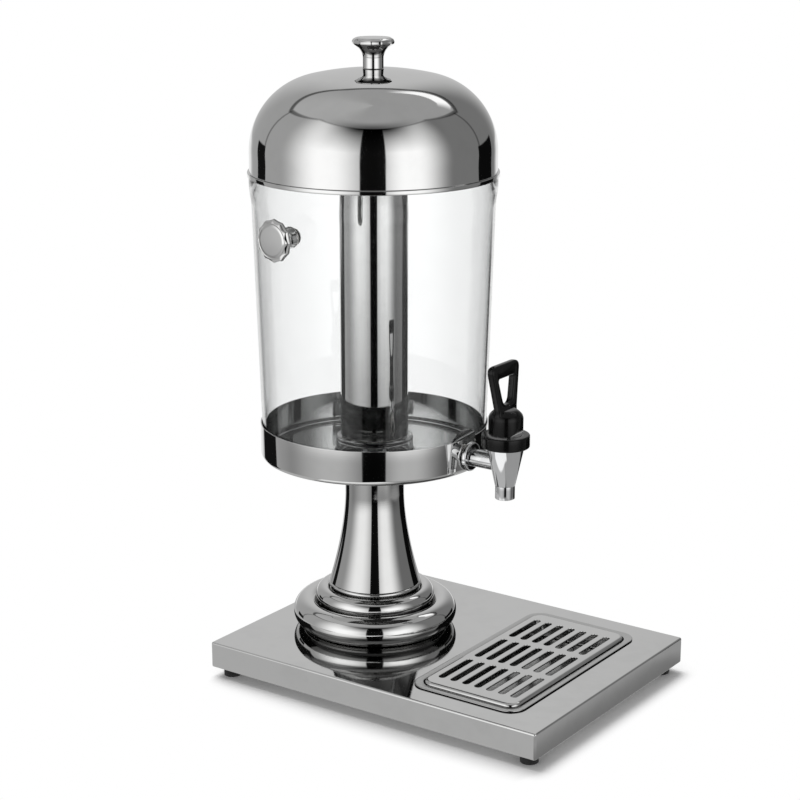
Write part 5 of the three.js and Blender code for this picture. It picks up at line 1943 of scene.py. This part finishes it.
@dataclass(frozen=True)
class Floor:
    """Floor that is white to the camera and keeps the shadow. Near the base mirrors see a glow of painted light and
    shade.
    """

    half_size: float = 12000.0
    white: Colour = (1.0, 1.0, 1.0, 1.0)
    off_white: Colour = (0.995, 0.995, 0.995, 1.0)
    mottle: float = 3.0
    shadow_end: Slope = Slope(0.0, 30.0)
    right_stretch: float = 0.5
    # Emission greys that only mirrors see near the base: painted light on the left, painted shade on the right,
    # darkest close to the base.
    painted_left_light: Colour = (0.47, 0.47, 0.47, 1.0)
    painted_right_shade: Colour = (0.33, 0.33, 0.33, 1.0)
    shade_tone: Colour = (0.19, 0.19, 0.19, 1.0)
    shade_end: Slope = Slope(0.0, 60.0)
    tone_end: Slope = Slope(330.0, 250.0)
    right_start: Slope = Slope(-4.0, 4.0)
    paper_left: float = 240.0
    paper_right: float = 190.0
    paper_softness: float = 15.0
    paper_start: Slope = Slope(118.0, 135.0)

    def build(self) -> None:
        """Lays the floor."""
        bm = bmesh.new()
        bmesh.ops.create_grid(bm, x_segments=1, y_segments=1, size=self.half_size)
        floor = make_object("studio_floor", bm)
        material = bpy.data.materials.new("white floor")
        material.use_nodes = True
        graph = Graph(material.node_tree)
        nodes = material.node_tree.nodes
        place = graph.node("TexCoord").outputs["Object"]
        away, right_side = self.around_base(graph, place)
        path = graph.node("LightPath")
        mirrored = graph.above(path.outputs["Glossy Depth"], FIRST_IMAGE)
        seen = self.seen(graph, nodes["Principled BSDF"], place, away, right_side)
        reflected = self.reflected(graph, place, away, right_side)
        mixed = graph.node("MixShader", {0: mirrored, 1: seen, 2: reflected})
        graph.put(nodes["Material Output"].inputs["Surface"], mixed.outputs[0])
        floor.data.materials.append(material)

    def seen(self, graph: Graph, paper: Node, place: NodeSocket, away: NodeSocket,
             right_side: NodeSocket) -> NodeSocket:
        """Adds what the camera sees: paper with the shadow near the base, and plain white farther out.

        Args:
            graph: graph of the floor's material.
            paper: its Principled node.
            place: object coordinates.
            away: distance from the base.
            right_side: mask of the base's right side, where the shadow reaches farther.

        Returns:
            The shader.
        """
        paper.inputs["Roughness"].default_value = 1.0
        paper.inputs["Specular IOR Level"].default_value = 0.0
        mottle = graph.node("TexNoise", {"Vector": place, "Scale": self.mottle})
        graph.put(paper.inputs["Base Color"], graph.mix(mottle.outputs["Fac"], self.white, self.off_white))
        white = graph.node("Emission", {"Strength": 1.0})
        reach = graph.times(away, graph.plus(1.0, graph.times(right_side, self.right_stretch)))
        camera = graph.node("LightPath").outputs["Is Camera Ray"]
        open_floor = graph.times(camera, graph.along(reach, self.shadow_end))
        return graph.node("MixShader", {0: open_floor, 1: paper.outputs[0], 2: white.outputs[0]}).outputs[0]

    def reflected(self, graph: Graph, place: NodeSocket, away: NodeSocket, right_side: NodeSocket) -> NodeSocket:
        """Adds what mirrors show: near the base an emission grey of painted light and shade, and the light tent
        farther out.

        Args:
            graph: graph of the floor's material.
            place: object coordinates.
            away: distance from the base.
            right_side: mask of the base's right side.

        Returns:
            The shader.
        """
        # Painted shade on the right, darkest close to the base, and painted light on the left, as an emission grey.
        shaded = graph.mix(graph.along(away, self.shade_end), self.shade_tone, self.painted_right_shade)
        painted_light_and_shade = graph.mix(right_side, self.painted_left_light, shaded)
        tone = graph.node("Emission", {"Color": graph.mix(self.paper_ahead(graph, place, away), painted_light_and_shade, self.white)})
        clear = graph.node("BsdfTransparent")
        near = graph.along(away, self.tone_end)
        return graph.node("MixShader", {0: near, 1: clear.outputs[0], 2: tone.outputs[0]}).outputs[0]

    def paper_ahead(self, graph: Graph, place: NodeSocket, away: NodeSocket) -> NodeSocket:
        """Adds the mask of the bright floor ahead of the faucet, which its cone mirrors.

        Args:
            graph: graph of the floor's material.
            place: object coordinates.
            away: distance from the base.

        Returns:
            The mask.
        """
        box = Extent.of("base_plate")
        parts = graph.node("SeparateXYZ", {0: place})
        across = graph.math("DIVIDE", parts.outputs[0], MM)
        ahead = graph.math("LESS_THAN", parts.outputs[1], box.low.y * MM)
        side = graph.within(across, Band(FAUCET.x - self.paper_left, FAUCET.x + self.paper_right,
                                         self.paper_softness))
        return graph.times(graph.times(ahead, side), graph.along(away, self.paper_start))

    def around_base(self, graph: Graph, place: NodeSocket) -> tuple[NodeSocket, NodeSocket]:
        """Adds the distance from the base, in millimetres, and a mask of the floor on its right.

        Args:
            graph: graph of the floor's material.
            place: object coordinates.

        Returns:
            The distance and the mask.
        """
        box = Extent.of("base_plate")
        parts = graph.node("SeparateXYZ", {0: place})
        beyond = []
        for axis in range(2):
            centred = graph.less(graph.math("DIVIDE", parts.outputs[axis], MM), box.middle[axis])
            outside = graph.less(graph.unsigned(centred), (box.high - box.low)[axis] / 2)
            beyond.append(graph.math("POWER", graph.math("MAXIMUM", outside, 0.0), 2.0))
        away = graph.math("SQRT", graph.plus(*beyond))
        right = graph.less(graph.math("DIVIDE", parts.outputs[0], MM), box.high.x)
        return away, graph.along(right, self.right_start)


@dataclass
class Studio:
    """Camera, floor and light of the picture."""

    camera_place: Vector = field(default_factory=lambda: Vector((1062.996, -1471.166, 753.917)))
    camera_turn: float = math.radians(35.109)
    camera_pitch: float = math.radians(15.526)
    focal_pixels: float = 2052.76
    picture_pixels: float = 800.0
    sensor: float = 36.0
    fill: Colour = (0.42, 0.42, 0.42, 1.0)
    lamp: float = 2.4
    lamp_size: float = math.radians(50)
    lamp_tilt: tuple[float, float, float] = (math.radians(-12), math.radians(-30), 0.0)
    bounces: int = 28
    clear_bounces: int = 24
    mirror_bounces: int = 8

    def build(self) -> None:
        """Sets the camera, the floor and the light."""
        self.set_camera()
        Floor().build()
        self.set_world()
        self.set_lamp()
        scene = bpy.context.scene
        scene.view_settings.view_transform = "Standard"
        scene.cycles.max_bounces = self.bounces
        scene.cycles.transmission_bounces = self.clear_bounces
        scene.cycles.glossy_bounces = self.mirror_bounces

    def set_camera(self) -> None:
        """Places the camera where the photograph was taken from."""
        data = bpy.data.cameras.new("picture_camera")
        data.sensor_width = self.sensor
        data.lens = self.focal_pixels * self.sensor / self.picture_pixels
        camera = bpy.data.objects.new("picture_camera", data)
        camera.location = (self.camera_place + COLUMN) * MM
        camera.rotation_euler = (QUARTER - self.camera_pitch, 0.0, self.camera_turn)
        bpy.context.scene.collection.objects.link(camera)
        bpy.context.scene.camera = camera

    def set_world(self) -> None:
        """Lights the object evenly, shows white behind it, and shows the light tent in mirrors."""
        world = bpy.data.worlds.new("light tent")
        bpy.context.scene.world = world
        world.use_nodes = True
        graph = Graph(world.node_tree)
        backdrop = world.node_tree.nodes["Background"]
        path = graph.node("LightPath")
        mirrored = graph.above(path.outputs["Glossy Depth"], FIRST_IMAGE)
        soft = graph.mix(path.outputs["Is Diffuse Ray"], (1.0, 1.0, 1.0, 1.0), self.fill)
        tent = LightTent(QUARTER - self.camera_turn)
        graph.put(backdrop.inputs["Color"], graph.mix(mirrored, soft, tent.colour(graph)))
        backdrop.inputs["Strength"].default_value = 1.0
        world.cycles.sampling_method = "NONE"

    def set_lamp(self) -> None:
        """Hangs one broad lamp on the left, which mirrors don't show."""
        data = bpy.data.lights.new("broad_lamp", "SUN")
        data.energy = self.lamp
        data.angle = self.lamp_size
        lamp = bpy.data.objects.new("broad_lamp", data)
        lamp.rotation_euler = self.lamp_tilt
        lamp.visible_glossy = False
        lamp.visible_transmission = False
        bpy.context.scene.collection.objects.link(lamp)


def main() -> None:
    """Builds the studio and the dispenser."""
    logging.basicConfig(level=logging.INFO, format="%(message)s")
    Studio().build()
    finishes = Finishes()
    for kind in (Base, DripTray, Pedestal, Tank, Lid, Faucet):
        LOG.info("building %s", kind.__name__)
        kind(finishes).build()


if __name__ == "__main__":
    main()
